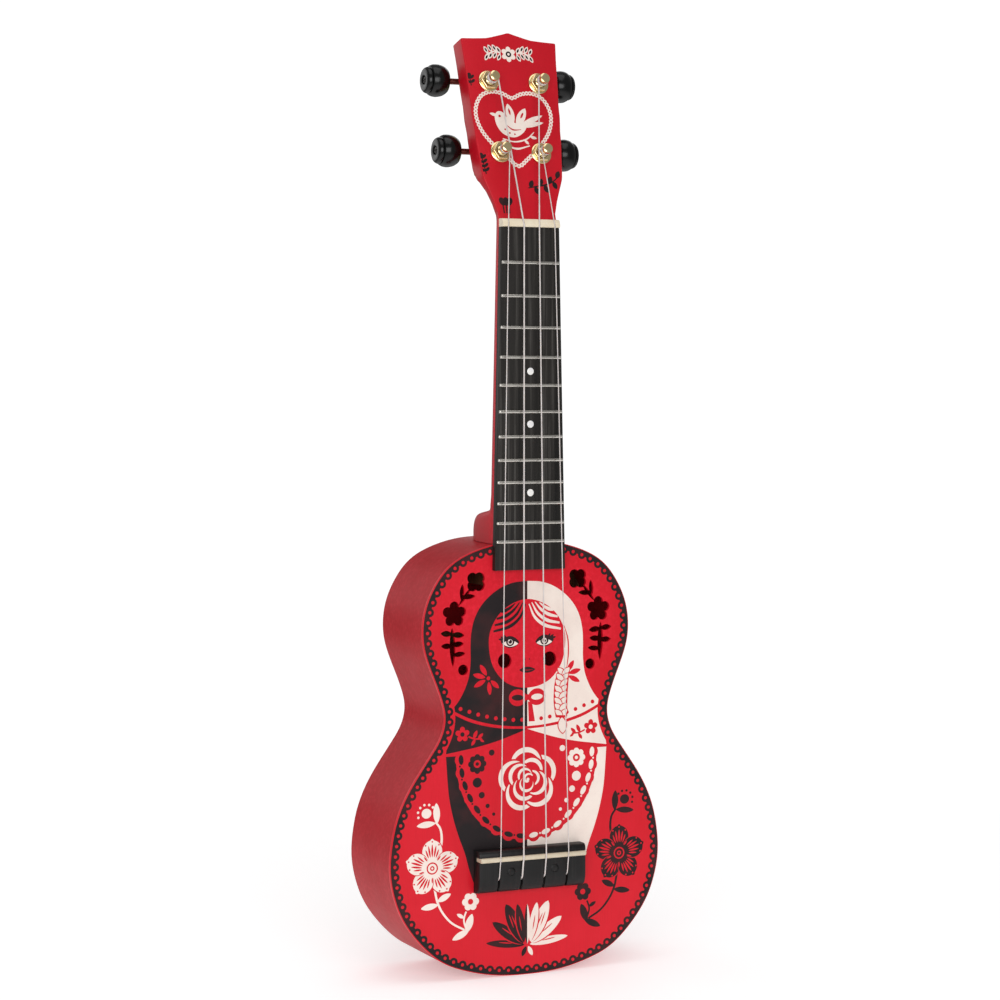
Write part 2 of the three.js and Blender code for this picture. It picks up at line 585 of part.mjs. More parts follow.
// One helical ridge, its middle facing the gear.
function wormThread(tuner) {
  const rings = [];
  for (let k = 0; k <= WORM.steps * WORM.turns; k++) {
    const turns = k / WORM.steps - WORM.turns / 2;
    const angle = -Math.PI / 2 + turns * 2 * Math.PI;
    const ridge = [[-0.3, 1.5], [0.3, 1.5], [0.2, WORM.outerR], [-0.2, WORM.outerR]];
    rings.push(ridge.map(([dx, radius]) => [
      tuner.x + LEAD * turns + dx,
      WORM_DEPTH + radius * Math.cos(angle),
      wormZ(tuner) + radius * Math.sin(angle),
    ]));
  }
  return loft(rings);
}
function shaft(tuner) {
  const reach = knobReach(tuner);
  return wormRod(tuner, -5.9, 4.4, 1.35, 12)
    .add(wormRod(tuner, -4.0, 4.4, WORM.rootR, 14))
    .add(wormThread(tuner))
    .add(wormRod(tuner, 4.3, 7.2, 2.85, 16))
    .add(wormRod(tuner, 7.1, reach - KNOB_BASE, 1.7, 14))
    .add(wormRod(tuner, reach - KNOB_BASE - 0.1, reach + 2, SHAFT_TIP_R, 12));
}
function housing(tuner) {
  const { x, z } = tuner;
  const frontY = HEAD_T + GAP;
  const backY = 25.0;
  // case outline round the post axis, with chamfered corners: [x, z]
  const plan = [
    [-4.9, -7], [4.9, -7], [6.5, -5.4], [6.5, 9.4], [4.9, 11], [-4.9, 11], [-6.5, 9.4], [-6.5, -5.4],
  ];
  // the case narrows by the second value towards its back: [y, inset]
  const levels = [[frontY, 0], [backY - 1.4, 0], [backY, 1.2]];
  const gearCase = loft(levels.map(([y, k]) => plan.map(([px, pz]) =>
    [x + px + (px > 0 ? -k : k), y, z + pz + (pz > 2 ? -k : k)])));
  // the ear below the gear case, bored for its mounting screw
  const ear = [[-4, -10.5], [-2.2, -12.8], [2.2, -12.8], [4, -10.5], [4, -6.5], [-4, -6.5]]
    .map(([px, pz]) => [x + px, z + pz]);
  return gearCase
    .add(slab(ear, frontY, frontY + 1.4))
    .subtract(rodY(x, z - 9.9, [5, 20], 1.3, 12))
    .subtract(rodY(x, z, [5, 21], 4.8, 24)) // gear chamber
    .subtract(rodY(x, z, [20, 22.8], 2.65, 16)) // the post's end bearing
    .subtract(wormRod(tuner, -4.5, 12, 3.15, 20)) // worm chamber
    .subtract(wormRod(tuner, -6.1, 0, 1.6, 14)) // the worm's inner bearing
    // opening between the chambers
    .subtract(box([x - 4.2, x + 4.2], [WORM_DEPTH - 1.9, WORM_DEPTH + 1.9], [z, wormZ(tuner)]));
}
function button(tuner) {
  const matrix = moveTo(tuner.side * tuner.knob, WORM_DEPTH, wormZ(tuner))
    .multiply(new THREE.Matrix4().makeRotationZ((-tuner.side * Math.PI) / 2));
  const reach = knobReach(tuner);
  return turned(KNOB_PROFILE, 20, matrix)
    .subtract(wormRod(tuner, reach - 9, reach + 2.3, SHAFT_TIP_R + 0.12, 12));
}

// ---------- scene graph ----------
const root = new THREE.Group();
root.position.set(0, FACE_Y, 0);
const body = new THREE.Group();
const neckGroup = new THREE.Group();
const head = new THREE.Group();
const stringGroup = new THREE.Group();
head.position.set(0, 0, HEAD_Z);
head.rotation.x = -HEAD_TILT;
neckGroup.add(head);
root.add(body, neckGroup, stringGroup);

function put(group, name, piece, surface, z = 0) {
  const mesh = new THREE.Mesh(flatShaded(piece), surface);
  mesh.name = name;
  mesh.position.set(0, 0, z);
  group.add(mesh);
}
const M = MATERIALS;
const twoDigits = (n) => String(n).padStart(2, "0");

put(body, "soundboard", soundboard(), M.topRed);
put(body, "back_plate", slab(outline, BACK_Y, DEPTH), M.sideRed);
put(body, "neck_block", neckBlock(), M.basswood);
put(body, "tail_block", tailBlock(), M.basswood);
for (const [name, side] of [["left", -1], ["right", 1]]) {
  put(body, "rib_" + name, rib(side), M.sideRed);
  put(body, "lining_front_" + name, lining(PLATE, side), M.basswood);
  put(body, "lining_back_" + name, lining(BACK_Y - LINING_H, side), M.basswood);
}
for (const spec of BRACES) put(body, "brace_" + spec.name, brace(spec), M.spruce);
put(body, "bridge_plate", box([-38, 38], [PLATE, PLATE + 2], [44, 80]), M.spruce);
put(body, "bridge", bridge(), M.black);
put(body, "saddle", saddle(), M.ivory);

put(neckGroup, "neck", neck(), M.neckRed);
put(neckGroup, "neck_dowel", dowelRod(220, 254, DOWEL_R), M.basswood);
put(neckGroup, "fingerboard", fingerboard(), M.black);
for (let n = 1; n <= FRET_COUNT; n++) {
  put(neckGroup, "fret_" + twoDigits(n), fret(n), M.nickel, fretZ(n));
}
for (const n of DOT_FRETS) {
  put(neckGroup, "marker_dot_" + twoDigits(n), markerDot(), M.pearl, dotZ(n));
}
put(neckGroup, "nut", nut(), M.ivory);
STRINGS.forEach((string, i) => {
  put(stringGroup, "string_" + (i + 1), stringSolid(string, TUNERS[i]), M.nylon);
});
for (const tuner of TUNERS) {
  const group = new THREE.Group();
  head.add(group);
  put(group, "tuner_bushing_" + tuner.number, bushing(tuner), M.gold);
  put(group, "tuner_post_" + tuner.number, post(tuner), M.gold);
  put(group, "tuner_housing_" + tuner.number, housing(tuner), M.gold);
  put(group, "tuner_shaft_" + tuner.number, shaft(tuner), M.steel);
  put(group, "tuner_button_" + tuner.number, button(tuner), M.plastic);
}

export default root;
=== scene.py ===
import json
import math
import bpy
import bmesh
import numpy as np
from mathutils import Matrix, Vector
from mathutils.geometry import delaunay_2d_cdt


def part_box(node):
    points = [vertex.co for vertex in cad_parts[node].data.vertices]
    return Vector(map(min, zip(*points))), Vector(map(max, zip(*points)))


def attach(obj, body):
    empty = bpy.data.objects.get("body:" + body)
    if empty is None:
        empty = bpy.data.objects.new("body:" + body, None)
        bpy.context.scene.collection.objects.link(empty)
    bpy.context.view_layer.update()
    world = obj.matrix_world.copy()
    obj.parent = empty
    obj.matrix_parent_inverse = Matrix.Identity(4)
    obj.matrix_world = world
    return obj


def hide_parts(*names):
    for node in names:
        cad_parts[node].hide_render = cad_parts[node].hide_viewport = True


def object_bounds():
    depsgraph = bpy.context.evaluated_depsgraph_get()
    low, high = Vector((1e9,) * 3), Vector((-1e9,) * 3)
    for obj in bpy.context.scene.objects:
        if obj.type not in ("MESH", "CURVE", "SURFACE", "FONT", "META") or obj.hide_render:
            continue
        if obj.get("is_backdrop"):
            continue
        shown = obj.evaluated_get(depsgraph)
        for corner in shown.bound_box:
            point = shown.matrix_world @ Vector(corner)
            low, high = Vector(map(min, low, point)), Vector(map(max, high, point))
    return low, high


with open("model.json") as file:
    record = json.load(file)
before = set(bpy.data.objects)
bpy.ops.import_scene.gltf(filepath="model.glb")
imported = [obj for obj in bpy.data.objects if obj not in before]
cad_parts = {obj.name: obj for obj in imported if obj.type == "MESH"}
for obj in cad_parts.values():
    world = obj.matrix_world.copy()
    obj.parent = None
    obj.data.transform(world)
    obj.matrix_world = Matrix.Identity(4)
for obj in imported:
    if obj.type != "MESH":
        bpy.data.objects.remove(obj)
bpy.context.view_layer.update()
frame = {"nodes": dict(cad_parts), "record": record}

MM = 0.001


def box(node):
    lo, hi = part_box(node)
    return np.array(lo) * 1000, np.array(hi) * 1000


# ---------------------------------------------------------------- where the frame puts things (mm)
SB, BK, FB = box("soundboard"), box("back_plate"), box("fingerboard")
YF = SB[0][1]                                   # soundboard face
DEPTH = BK[1][1] - YF
PLATE = SB[1][1] - SB[0][1]
FB_T = YF - FB[0][1]
NUTB = box("nut")
NUT_Z, HZ = NUTB[0][2] - 0.02, NUTB[1][2]
JOINT = {j["name"]: j for j in frame["record"]["behaviour"]["joints"]}
TILT = math.asin(JOINT["post_spin_1"]["axis"][2])
CT, ST = math.cos(TILT), math.sin(TILT)


def head(x, w, s):
    """headstock frame to row frame: x across, w behind the face, s up the face"""
    return (x, YF + s * ST + w * CT, HZ + s * CT - w * ST)


def to_head(p):
    y, z = p[1] * 1000 - YF, p[2] * 1000 - HZ
    return p[0] * 1000, y * CT - z * ST, y * ST + z * CT


TUNERS = []
for n in (1, 2, 3, 4):
    kx, kw, ks = to_head(JOINT["knob_spin_%d" % n]["pos_m"])
    px, _, ps = to_head(JOINT["post_spin_%d" % n]["pos_m"])
    b = box("tuner_button_%d" % n)
    side = 1 if px > 0 else -1
    TUNERS.append(dict(n=n, x=px, s=ps, w=kw, ks=ks, side=side, knob=(b[0][0] + b[1][0]) / 2 - side * 0.2))
HEAD_T = 12.5
SCALE_Z = box("saddle")
SADDLE_Z = (SCALE_Z[0][2] + SCALE_Z[1][2]) / 2
SADDLE_TOP = YF - SCALE_Z[0][1]


# ---------------------------------------------------------------- mesh helpers
def make(name, verts, faces, material, body="root", slot=None, replaces=(), sharp=35, recalc=True, smooth=True):
    me = bpy.data.meshes.new(name)
    me.from_pydata([tuple(float(c) * MM for c in v) for v in verts], [], [tuple(int(i) for i in f) for f in faces])
    if recalc:
        bm = bmesh.new()
        bm.from_mesh(me)
        bmesh.ops.remove_doubles(bm, verts=bm.verts, dist=1e-7)
        bmesh.ops.recalc_face_normals(bm, faces=bm.faces)
        bm.to_mesh(me)
        bm.free()
    me.materials.append(material)
    ob = bpy.data.objects.new(name, me)
    bpy.context.scene.collection.objects.link(ob)
    if smooth:
        me.shade_smooth()
        me.set_sharp_from_angle(angle=math.radians(sharp))
    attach(ob, body)
    if replaces:
        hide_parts(*replaces)
    return ob


def loft(rings, caps=True, closed=False):
    rings = [np.asarray(r, float) for r in rings]
    n, v, f = len(rings[0]), [], []
    for r in rings:
        v.extend(r.tolist())
    m = len(rings)
    for i in range(m if closed else m - 1):
        for j in range(n):
            a, b = i * n + j, i * n + (j + 1) % n
            c, d = ((i + 1) % m) * n + j, ((i + 1) % m) * n + (j + 1) % n
            f.append((a, b, d, c))
    if caps and not closed:
        f.append(tuple(range(n))[::-1])
        f.append(tuple(range((m - 1) * n, m * n)))
    return v, f


def join(*parts):
    v, f = [], []
    for pv, pf in parts:
        k = len(v)
        v.extend(pv)
        f.extend(tuple(i + k for i in q) for q in pf)
    return v, f


def frame_of(a, b):
    a, b = np.array(a, float), np.array(b, float)
    t = (b - a) / np.linalg.norm(b - a)
    u = np.cross(t, [0, 0, 1] if abs(t[2]) < 0.9 else [1, 0, 0])
    u /= np.linalg.norm(u)
    return a, t, u, np.cross(t, u)


def turned(a, b, profile, seg=48, phase=0.0):
    """profile [(radius, distance from a towards b)] turned about the line a to b"""
    o, t, u, w = frame_of(a, b)
    v, f, rows = [], [], []
    for r, h in profile:
        if r < 1e-6:
            rows.append([len(v)])
            v.append(o + t * h)
        else:
            rows.append(list(range(len(v), len(v) + seg)))
            for k in range(seg):
                g = 2 * math.pi * k / seg + phase
                v.append(o + t * h + (u * math.cos(g) + w * math.sin(g)) * r)
    for p, q in zip(rows, rows[1:]):
        for k in range(seg):
            k2 = (k + 1) % seg
            if len(p) == 1 and len(q) == 1:
                continue
            if len(p) == 1:
                f.append((p[0], q[k], q[k2]))
            elif len(q) == 1:
                f.append((p[k], q[0], p[k2]))
            else:
                f.append((p[k], p[k2], q[k2], q[k]))
    return v, f


def smooth_profile(pts, n=6):
    """Catmull-Rom through profile points, ends kept"""
    P = [np.array(p, float) for p in pts]
    P = [2 * P[0] - P[1]] + P + [2 * P[-1] - P[-2]]
    out = []
    for i in range(1, len(P) - 2):
        for k in range(n):
            t = k / n
            out.append(0.5 * ((2 * P[i]) + (P[i + 1] - P[i - 1]) * t + (2 * P[i - 1] - 5 * P[i] + 4 * P[i + 1] - P[i + 2]) * t * t
                              + (3 * P[i] - P[i - 1] - 3 * P[i + 1] + P[i + 2]) * t ** 3))
    out.append(P[-2])
    return [(max(0.0, a), b) for a, b in out]


def tube(path, radii, sides=14):
    P = [np.array(p, float) for p in path]
    rings, nrm = [], None
    for i, p in enumerate(P):
        t = np.zeros(3)
        if i > 0:
            d = p - P[i - 1]; t += d / np.linalg.norm(d)
        if i + 1 < len(P):
            d = P[i + 1] - p; t += d / np.linalg.norm(d)
        t /= np.linalg.norm(t)
        if nrm is None:
            nrm = np.cross([1, 0, 0], t)
        nrm = nrm - t * nrm.dot(t)
        nrm /= np.linalg.norm(nrm)
        b = np.cross(t, nrm)
        rings.append([p + radii[i] * (nrm * math.cos(2 * math.pi * k / sides) + b * math.sin(2 * math.pi * k / sides)) for k in range(sides)])
    return loft(rings)


def tidy(me):
    """merge coincident corners and drop faces with no area"""
    bm = bmesh.new(); bm.from_mesh(me)
    bmesh.ops.remove_doubles(bm, verts=bm.verts, dist=1e-6)
    bmesh.ops.dissolve_degenerate(bm, dist=5e-7, edges=bm.edges)
    bmesh.ops.delete(bm, geom=[q for q in bm.verts if not q.link_faces], context="VERTS")
    bm.to_mesh(me); bm.free()


def cut(ob, cutters):
    """boolean difference, applied; cutters are [(verts, faces)]"""
    cos = []
    for k, (v, f) in enumerate(cutters):
        me = bpy.data.meshes.new("cutter")
        me.from_pydata([tuple(float(c) * MM for c in p) for p in v], [], [tuple(q) for q in f])
        bm = bmesh.new(); bm.from_mesh(me)
        bmesh.ops.remove_doubles(bm, verts=bm.verts, dist=1e-7)
        bmesh.ops.recalc_face_normals(bm, faces=bm.faces)
        bm.to_mesh(me); bm.free()
        co = bpy.data.objects.new("cutter", me)
        bpy.context.scene.collection.objects.link(co)
        md = ob.modifiers.new("cut%d" % k, "BOOLEAN")
        md.operation, md.object, md.solver = "DIFFERENCE", co, "EXACT"
        cos.append(co)
    dg = bpy.context.evaluated_depsgraph_get()
    me = bpy.data.meshes.new_from_object(ob.evaluated_get(dg))
    ob.modifiers.clear()
    old = ob.data
    ob.data = me
    bpy.data.meshes.remove(old)
    for co in cos:
        bpy.data.objects.remove(co)
    tidy(me)
    me.shade_smooth()
    me.set_sharp_from_angle(angle=math.radians(32))
    return ob


def bevel(ob, width, segments=3, angle=30):
    """bevel sharp edges, applied"""
    bm = bmesh.new(); bm.from_mesh(ob.data)
    es = [e for e in bm.edges if len(e.link_faces) == 2 and e.calc_face_angle(0) > math.radians(angle)]
    bmesh.ops.bevel(bm, geom=es, offset=width * MM, segments=segments, profile=0.6, affect="EDGES", clamp_overlap=True)
    bm.to_mesh(ob.data); bm.free()
    tidy(ob.data)
    ob.data.shade_smooth()
    ob.data.set_sharp_from_angle(angle=math.radians(40))
    return ob


def block(x0, x1, y0, y1, z0, z1):
    v = [(x, y, z) for x in (x0, x1) for y in (y0, y1) for z in (z0, z1)]
    return v, [(0, 1, 3, 2), (4, 6, 7, 5), (0, 4, 5, 1), (2, 3, 7, 6), (0, 2, 6, 4), (1, 5, 7, 3)]


# ---------------------------------------------------------------- materials
def srgb(r, g, b):
    return tuple(((c / 255) / 12.92 if c / 255 <= 0.04045 else ((c / 255 + 0.055) / 1.055) ** 2.4) for c in (r, g, b)) + (1.0,)


class Mat:
    def __init__(self, name):
        self.m = bpy.data.materials.new(name)
        self.m.use_nodes = True
        self.t = self.m.node_tree
        self.b = self.t.nodes["Principled BSDF"]
        self.co = self.t.nodes.new("ShaderNodeTexCoord").outputs["Object"]

    def link(self, a, b):
        self.t.links.new(a, b)

    def noise(self, scale, detail=3, rough=0.55, stretch=(1, 1, 1), distortion=0.0):
        mp = self.t.nodes.new("ShaderNodeMapping")
        mp.inputs["Scale"].default_value = stretch
        self.link(self.co, mp.inputs["Vector"])
        n = self.t.nodes.new("ShaderNodeTexNoise")
        n.inputs["Scale"].default_value, n.inputs["Detail"].default_value = scale, detail
        n.inputs["Roughness"].default_value, n.inputs["Distortion"].default_value = rough, distortion
        self.link(mp.outputs[0], n.inputs["Vector"])
        return n.outputs["Fac"]

    def ramp(self, fac, stops):
        r = self.t.nodes.new("ShaderNodeValToRGB")
        e = r.color_ramp.elements
        e[0].position, e[0].color = stops[0]
        e[1].position, e[1].color = stops[-1]
        for p, c in stops[1:-1]:
            e.new(p).color = c
        self.link(fac, r.inputs["Fac"])
        return r.outputs["Color"]

    def mix(self, fac, a, b, mode="MIX"):
        n = self.t.nodes.new("ShaderNodeMix")
        n.data_type, n.blend_type = "RGBA", mode
        if isinstance(fac, float):
            n.inputs[0].default_value = fac
        else:
            self.link(fac, n.inputs[0])
        for k, v in ((6, a), (7, b)):
            if isinstance(v, tuple):
                n.inputs[k].default_value = v
            else:
                self.link(v, n.inputs[k])
        return n.outputs[2]

    def range(self, fac, lo, hi, a=0.0, b=1.0):
        n = self.t.nodes.new("ShaderNodeMapRange")
        for k, v in zip(("From Min", "From Max", "To Min", "To Max"), (a, b, lo, hi)):
            n.inputs[k].default_value = v
        self.link(fac, n.inputs["Value"])
        return n.outputs["Result"]

    def edges(self, lo=0.51, hi=0.58):
        g = self.t.nodes.new("ShaderNodeNewGeometry")
        return self.range(g.outputs["Pointiness"], 0.0, 1.0, lo, hi)

    def bump(self, fac, strength, dist):
        n = self.t.nodes.new("ShaderNodeBump")
        n.inputs["Strength"].default_value, n.inputs["Distance"].default_value = strength, dist * MM
        self.link(fac, n.inputs["Height"])
        self.link(n.outputs[0], self.b.inputs["Normal"])

    def set(self, **kw):
        for k, v in kw.items():
            s = self.b.inputs[k.replace("_", " ")]
            if hasattr(v, "is_linked"):
                self.link(v, s)
            else:
                s.default_value = v
        return self


def paint(name, base, warm, rough=0.42, wear=0.35, coat=0.12, spec=0.25):
    m = Mat(name)
    grain = m.noise(1500, 4, 0.6, (1, 1, 0.035))
    cloud = m.noise(28, 3)
    c = m.mix(m.range(cloud, 0.0, 1.0, 0.35, 0.7), srgb(*base), srgb(*warm))
    dark = srgb(*[v * 0.86 for v in base])
    c = m.mix(m.range(grain, 0.0, 0.30, 0.5, 0.8), c, dark)
    speck = m.noise(420, 2)
    worn = m.t.nodes.new("ShaderNodeMath"); worn.operation = "MULTIPLY"
    m.link(m.edges(), worn.inputs[0]); m.link(m.range(speck, 0.0, wear, 0.45, 0.65), worn.inputs[1])
    c = m.mix(worn.outputs[0], c, srgb(*[min(255, v * 1.05 + 30) for v in base]))
    m.set(Base_Color=c, Roughness=m.range(m.noise(90, 3), rough - 0.05, rough + 0.07), Coat_Weight=coat, Coat_Roughness=0.28, Specular_IOR_Level=spec)
    m.bump(grain, 0.12, 0.05)
    return m.m


def dark_wood(name, lo, mid, hi, rough=0.5, streak=900, bumps=0.3):
    m = Mat(name)
    a = m.noise(streak, 5, 0.62, (1, 1, 0.012), 0.2)
    b = m.noise(2600, 2, 0.5, (1, 1, 0.03))
    c = m.ramp(a, [(0.30, srgb(*lo)), (0.55, srgb(*mid)), (0.74, srgb(*hi))])
    c = m.mix(m.range(b, 0.0, 0.55, 0.5, 0.75), c, srgb(*[v * 0.6 for v in lo]))
    m.set(Base_Color=c, Roughness=m.range(a, rough - 0.08, rough + 0.1), Specular_IOR_Level=0.28)
    m.bump(b, bumps, 0.08)
    return m.m


def metal(name, base, tint, rough=0.2):
    m = Mat(name)
    brush = m.noise(2200, 3, 0.6, (1, 0.08, 1))
    cloud = m.noise(260, 3)
    c = m.mix(m.range(cloud, 0.0, 0.7, 0.35, 0.7), srgb(*base), srgb(*tint))
    m.set(Base_Color=c, Metallic=1.0, Roughness=m.range(cloud, rough - 0.06, rough + 0.12))
    m.bump(brush, 0.06, 0.02)
    return m.m


def plastic(name, base, var, rough=0.2, coat=0.0, sub=0.0, grit=0.05, spec=0.5):
    m = Mat(name)
    a = m.noise(120, 3)
    c = m.mix(m.range(a, 0.0, 1.0, 0.35, 0.7), srgb(*base), srgb(*var))
    m.set(Base_Color=c, Roughness=m.range(m.noise(380, 3), rough - 0.05, rough + 0.07), Coat_Weight=coat, Specular_IOR_Level=spec, Subsurface_Weight=sub, Subsurface_Radius=(0.002, 0.0018, 0.0015))
    m.bump(m.noise(3200, 2), grit, 0.02)
    return m.m


def ink(name, base, rough=0.55):
    m = Mat(name)
    a, b = m.noise(900, 4), m.noise(60, 2)
    c = m.mix(m.range(a, 0.0, 0.22, 0.55, 0.75), srgb(*base), srgb(*[min(255, v * 0.82 + 16) for v in base]))
    c = m.mix(m.range(b, 0.0, 0.10, 0.4, 0.7), c, srgb(150, 50, 50))
    m.set(Base_Color=c, Roughness=m.range(a, rough - 0.05, rough + 0.08), Specular_IOR_Level=0.25)
    m.bump(a, 0.08, 0.02)
    return m.m


RED = paint("paint_front", (200, 4, 28), (208, 12, 36))
# sides and back: the front's red paint made darker, as painted shade for faces turned away from the light
SIDE_PAINT_SHADE = paint("paint_side", (170, 16, 27), (178, 24, 35), 0.5, 0.3, 0.05, 0.14)
# neck and headstock: the front's red paint made darker, as painted shade on the headstock face
NECK_PAINT_SHADE = paint("paint_neck_shaded", (188, 3, 26), (196, 10, 32), 0.4, 0.35, 0.14, 0.26)
EBONY = dark_wood("fingerboard_wood", (15, 13, 11), (36, 33, 30), (84, 81, 78), 0.5, 420)
BRIDGE_M = dark_wood("bridge_satin", (15, 14, 14), (22, 21, 21), (33, 32, 31), 0.42, 700, 0.15)
BARE = dark_wood("bare_wood", (96, 58, 38), (116, 72, 46), (134, 88, 58), 0.7, 500, 0.2)
GOLD = metal("gold_plate", (252, 232, 182), (234, 206, 142), 0.17)
NICKEL = metal("fret_nickel", (214, 210, 202), (190, 186, 180), 0.22)
# worm shafts: dark steel tinted reddish brown, a painted reflection of the red headstock
SHAFT_RED_REFLECTION = metal("shaft_dark_steel", (120, 70, 62), (96, 58, 52), 0.28)
BONE = plastic("bone_cream", (232, 220, 196), (222, 206, 178), 0.32, 0.0, 0.15, 0.06)
SADDLE = plastic("saddle_bone", (209, 198, 175), (197, 184, 159), 0.38, 0.0, 0.1, 0.06)
BLACK = plastic("button_gloss", (2, 2, 2), (6, 6, 6), 0.2, 0.0, 0.0, 0.05, 0.36)
SCREW = metal("screw_black", (58, 54, 52), (44, 41, 40), 0.3)
PEARL = plastic("pearl_dot", (238, 236, 232), (222, 222, 226), 0.2, 0.3, 0.1)
NYLON = plastic("nylon_string", (214, 206, 202), (194, 186, 184), 0.3, 0.0, 0.3, 0.02)
INK_K = ink("ink_black", (26, 18, 20))
INK_C = ink("ink_cream", (236, 222, 212))

# ---------------------------------------------------------------- body outline
HALF = [(0, 0), (21.1, 1.3), (41.7, 6.6), (52.5, 11.6), (65.4, 23.5), (75.1, 37.0), (80.1, 50.3), (82.3, 63.6), (81.3, 77.1), (78.3, 91.0),
        (72.6, 104.0), (65.8, 114.7), (61.9, 120.1), (56.9, 127.3), (52.0, 134.5), (49.3, 144.0), (49.3, 148.0), (53.7, 161.7), (59.0, 174.6),
        (62.6, 186.3), (62.2, 202.0), (57.4, 215.2), (46.0, 230.0), (23.1, 239.6), (0, 241.7)]
CTRL = np.array(HALF + [(-x, z) for x, z in HALF[1:-1][::-1]])


def centripetal(P, per=40):
    n, out = len(P), []
    for i in range(n):
        p0, p1, p2, p3 = P[i - 1], P[i], P[(i + 1) % n], P[(i + 2) % n]
        d0, d1, d2 = (math.sqrt(np.linalg.norm(q - p)) for p, q in ((p0, p1), (p1, p2), (p2, p3)))
        t1 = ((p1 - p0) / d0 - (p2 - p0) / (d0 + d1) + (p2 - p1) / d1) * d1
        t2 = ((p2 - p1) / d1 - (p3 - p1) / (d1 + d2) + (p3 - p2) / d2) * d1
        for k in range(per):
            t = k / per
            out.append(p1 + t1 * t + (-3 * p1 + 3 * p2 - 2 * t1 - t2) * t ** 2 + (2 * p1 - 2 * p2 + t1 + t2) * t ** 3)
    return np.array(out)


def resample(P, n):
    Q = np.vstack([P, P[:1]])
    L = np.concatenate([[0], np.cumsum(np.linalg.norm(np.diff(Q, axis=0), axis=1))])
    u = np.linspace(0, L[-1], n, endpoint=False)
    return np.stack([np.interp(u, L, Q[:, k]) for k in (0, 1)], 1)


NO = 480
OUT = resample(centripetal(CTRL), NO)
kern = np.exp(-0.5 * (np.arange(-12, 13) / 3.2) ** 2); kern /= kern.sum()   # takes the faint unevenness out of the curve
OUT = np.stack([np.convolve(np.concatenate([OUT[-12:, k], OUT[:, k], OUT[:12, k]]), kern, "valid") for k in (0, 1)], 1)
OUT = (OUT + np.stack([-OUT[(-np.arange(NO)) % NO, 0], OUT[(-np.arange(NO)) % NO, 1]], 1)) / 2
OUT[:, 1] *= 241.7 / (OUT[:, 1].max() - OUT[:, 1].min()); OUT[:, 1] -= OUT[:, 1].min()
TAN = np.roll(OUT, -1, 0) - np.roll(OUT, 1, 0); TAN /= np.linalg.norm(TAN, axis=1)[:, None]
INN = np.stack([-TAN[:, 1], TAN[:, 0]], 1)


def inset(d):
    return OUT + INN * d


def disc(cx, cz, r, n=28):
    return [(cx + r * math.cos(2 * math.pi * k / n), cz + r * math.sin(2 * math.pi * k / n)) for k in range(n)]


def ellipse(cx, cz, rx, rz, rot=0.0, n=28):
    c, s = math.cos(rot), math.sin(rot)
    return [(cx + rx * math.cos(a) * c - rz * math.sin(a) * s, cz + rx * math.cos(a) * s + rz * math.sin(a) * c) for a in (2 * math.pi * k / n for k in range(n))]


def leaf(x0, z0, x1, z1, h, n=10, power=0.7):
    dx, dz = x1 - x0, z1 - z0
    L = math.hypot(dx, dz)
    nx, nz = -dz / L, dx / L
    o = [h * math.sin(math.pi * i / n) ** power for i in range(n + 1)]
    return [(x0 + dx * i / n - nx * o[i], z0 + dz * i / n - nz * o[i]) for i in range(n + 1)] + \
           [(x0 + dx * i / n + nx * o[i], z0 + dz * i / n + nz * o[i]) for i in range(n - 1, 0, -1)]


def bloom(cx, cz, petals, r0, r1, turn, n=96, power=0.8):
    return [(cx + r * math.cos(a), cz + r * math.sin(a)) for a, r in
            ((a, r0 + (r1 - r0) * abs(math.cos(petals * (a - turn) / 2)) ** power) for a in (2 * math.pi * k / n for k in range(n)))]


def flip(p):
    return [(-x, z) for x, z in p][::-1]


HOLES = [bloom(31.0, 220.0, 4, 4.4, 6.0, math.pi / 4, 72), leaf(33.6, 217.2, 41.4, 207.2, 1.0, 14), leaf(39.7, 210.0, 39.0, 219.0, 1.35, 14),
         leaf(40.0, 211.8, 31.4, 212.2, 1.45, 14), bloom(43.9, 202.6, 5, 4.8, 7.1, math.pi / 2, 100), leaf(45.3, 195.4, 44.8, 173.8, 1.7, 18),
         leaf(45.2, 191.8, 52.0, 192.4, 1.65, 14), leaf(45.4, 191.6, 38.0, 190.8, 1.65, 14), leaf(45.0, 185.2, 51.8, 185.4, 1.6, 14),
         leaf(45.4, 185.8, 38.4, 186.4, 1.6, 14), leaf(45.0, 180.2, 37.4, 181.0, 1.45, 14), disc(38.75, 171.9, 2.95, 40), disc(13.7, 175.8, 4.1, 52)]


# Overlapping hole outlines are joined with a boolean, so the soundboard is a clean closed sheet.
def plate(name, rings, material, slot, node, drill=False):
    v, f = [], []
    for d, y in rings:
        v.extend((x, YF + y, z) for x, z in inset(d))
    for i in range(len(rings) - 1):
        for j in range(NO):
            a, b = i * NO + j, i * NO + (j + 1) % NO
            f.append((a, b, b + NO, a + NO))
    f.append(tuple(range(NO))[::-1])
    f.append(tuple(range((len(rings) - 1) * NO, len(rings) * NO)))
    ob = make(name, v, f, material, "root", slot, [node])
    if drill:
        cutters = []
        for h in HOLES:
            for p in (h, flip(h)):
                k = len(p)
                cutters.append(([(x, YF - 2, z) for x, z in p] + [(x, YF + PLATE + 1.0, z) for x, z in p],
                                [tuple(range(k))[::-1], tuple(range(k, 2 * k))] + [(j, (j + 1) % k, k + (j + 1) % k, k + j) for j in range(k)]))
        cut(ob, cutters)
    return ob


R = 0.45
quarter = [(R - R * math.sin(a), R - R * math.cos(a)) for a in np.linspace(0, math.pi / 2, 8)]
plate("soundboard_skin", [(R + 0.5, 0.0)] + quarter + [(0, PLATE - 0.02), (1.2, PLATE - 0.02)], RED, "paint_front", "soundboard", True)
plate("back_skin", [(1.2, DEPTH - PLATE + 0.02), (0, DEPTH - PLATE + 0.02)] + [(d, DEPTH - y) for d, y in quarter[::-1]] + [(R + 0.8, DEPTH)], SIDE_PAINT_SHADE, "paint_side", "back_plate")

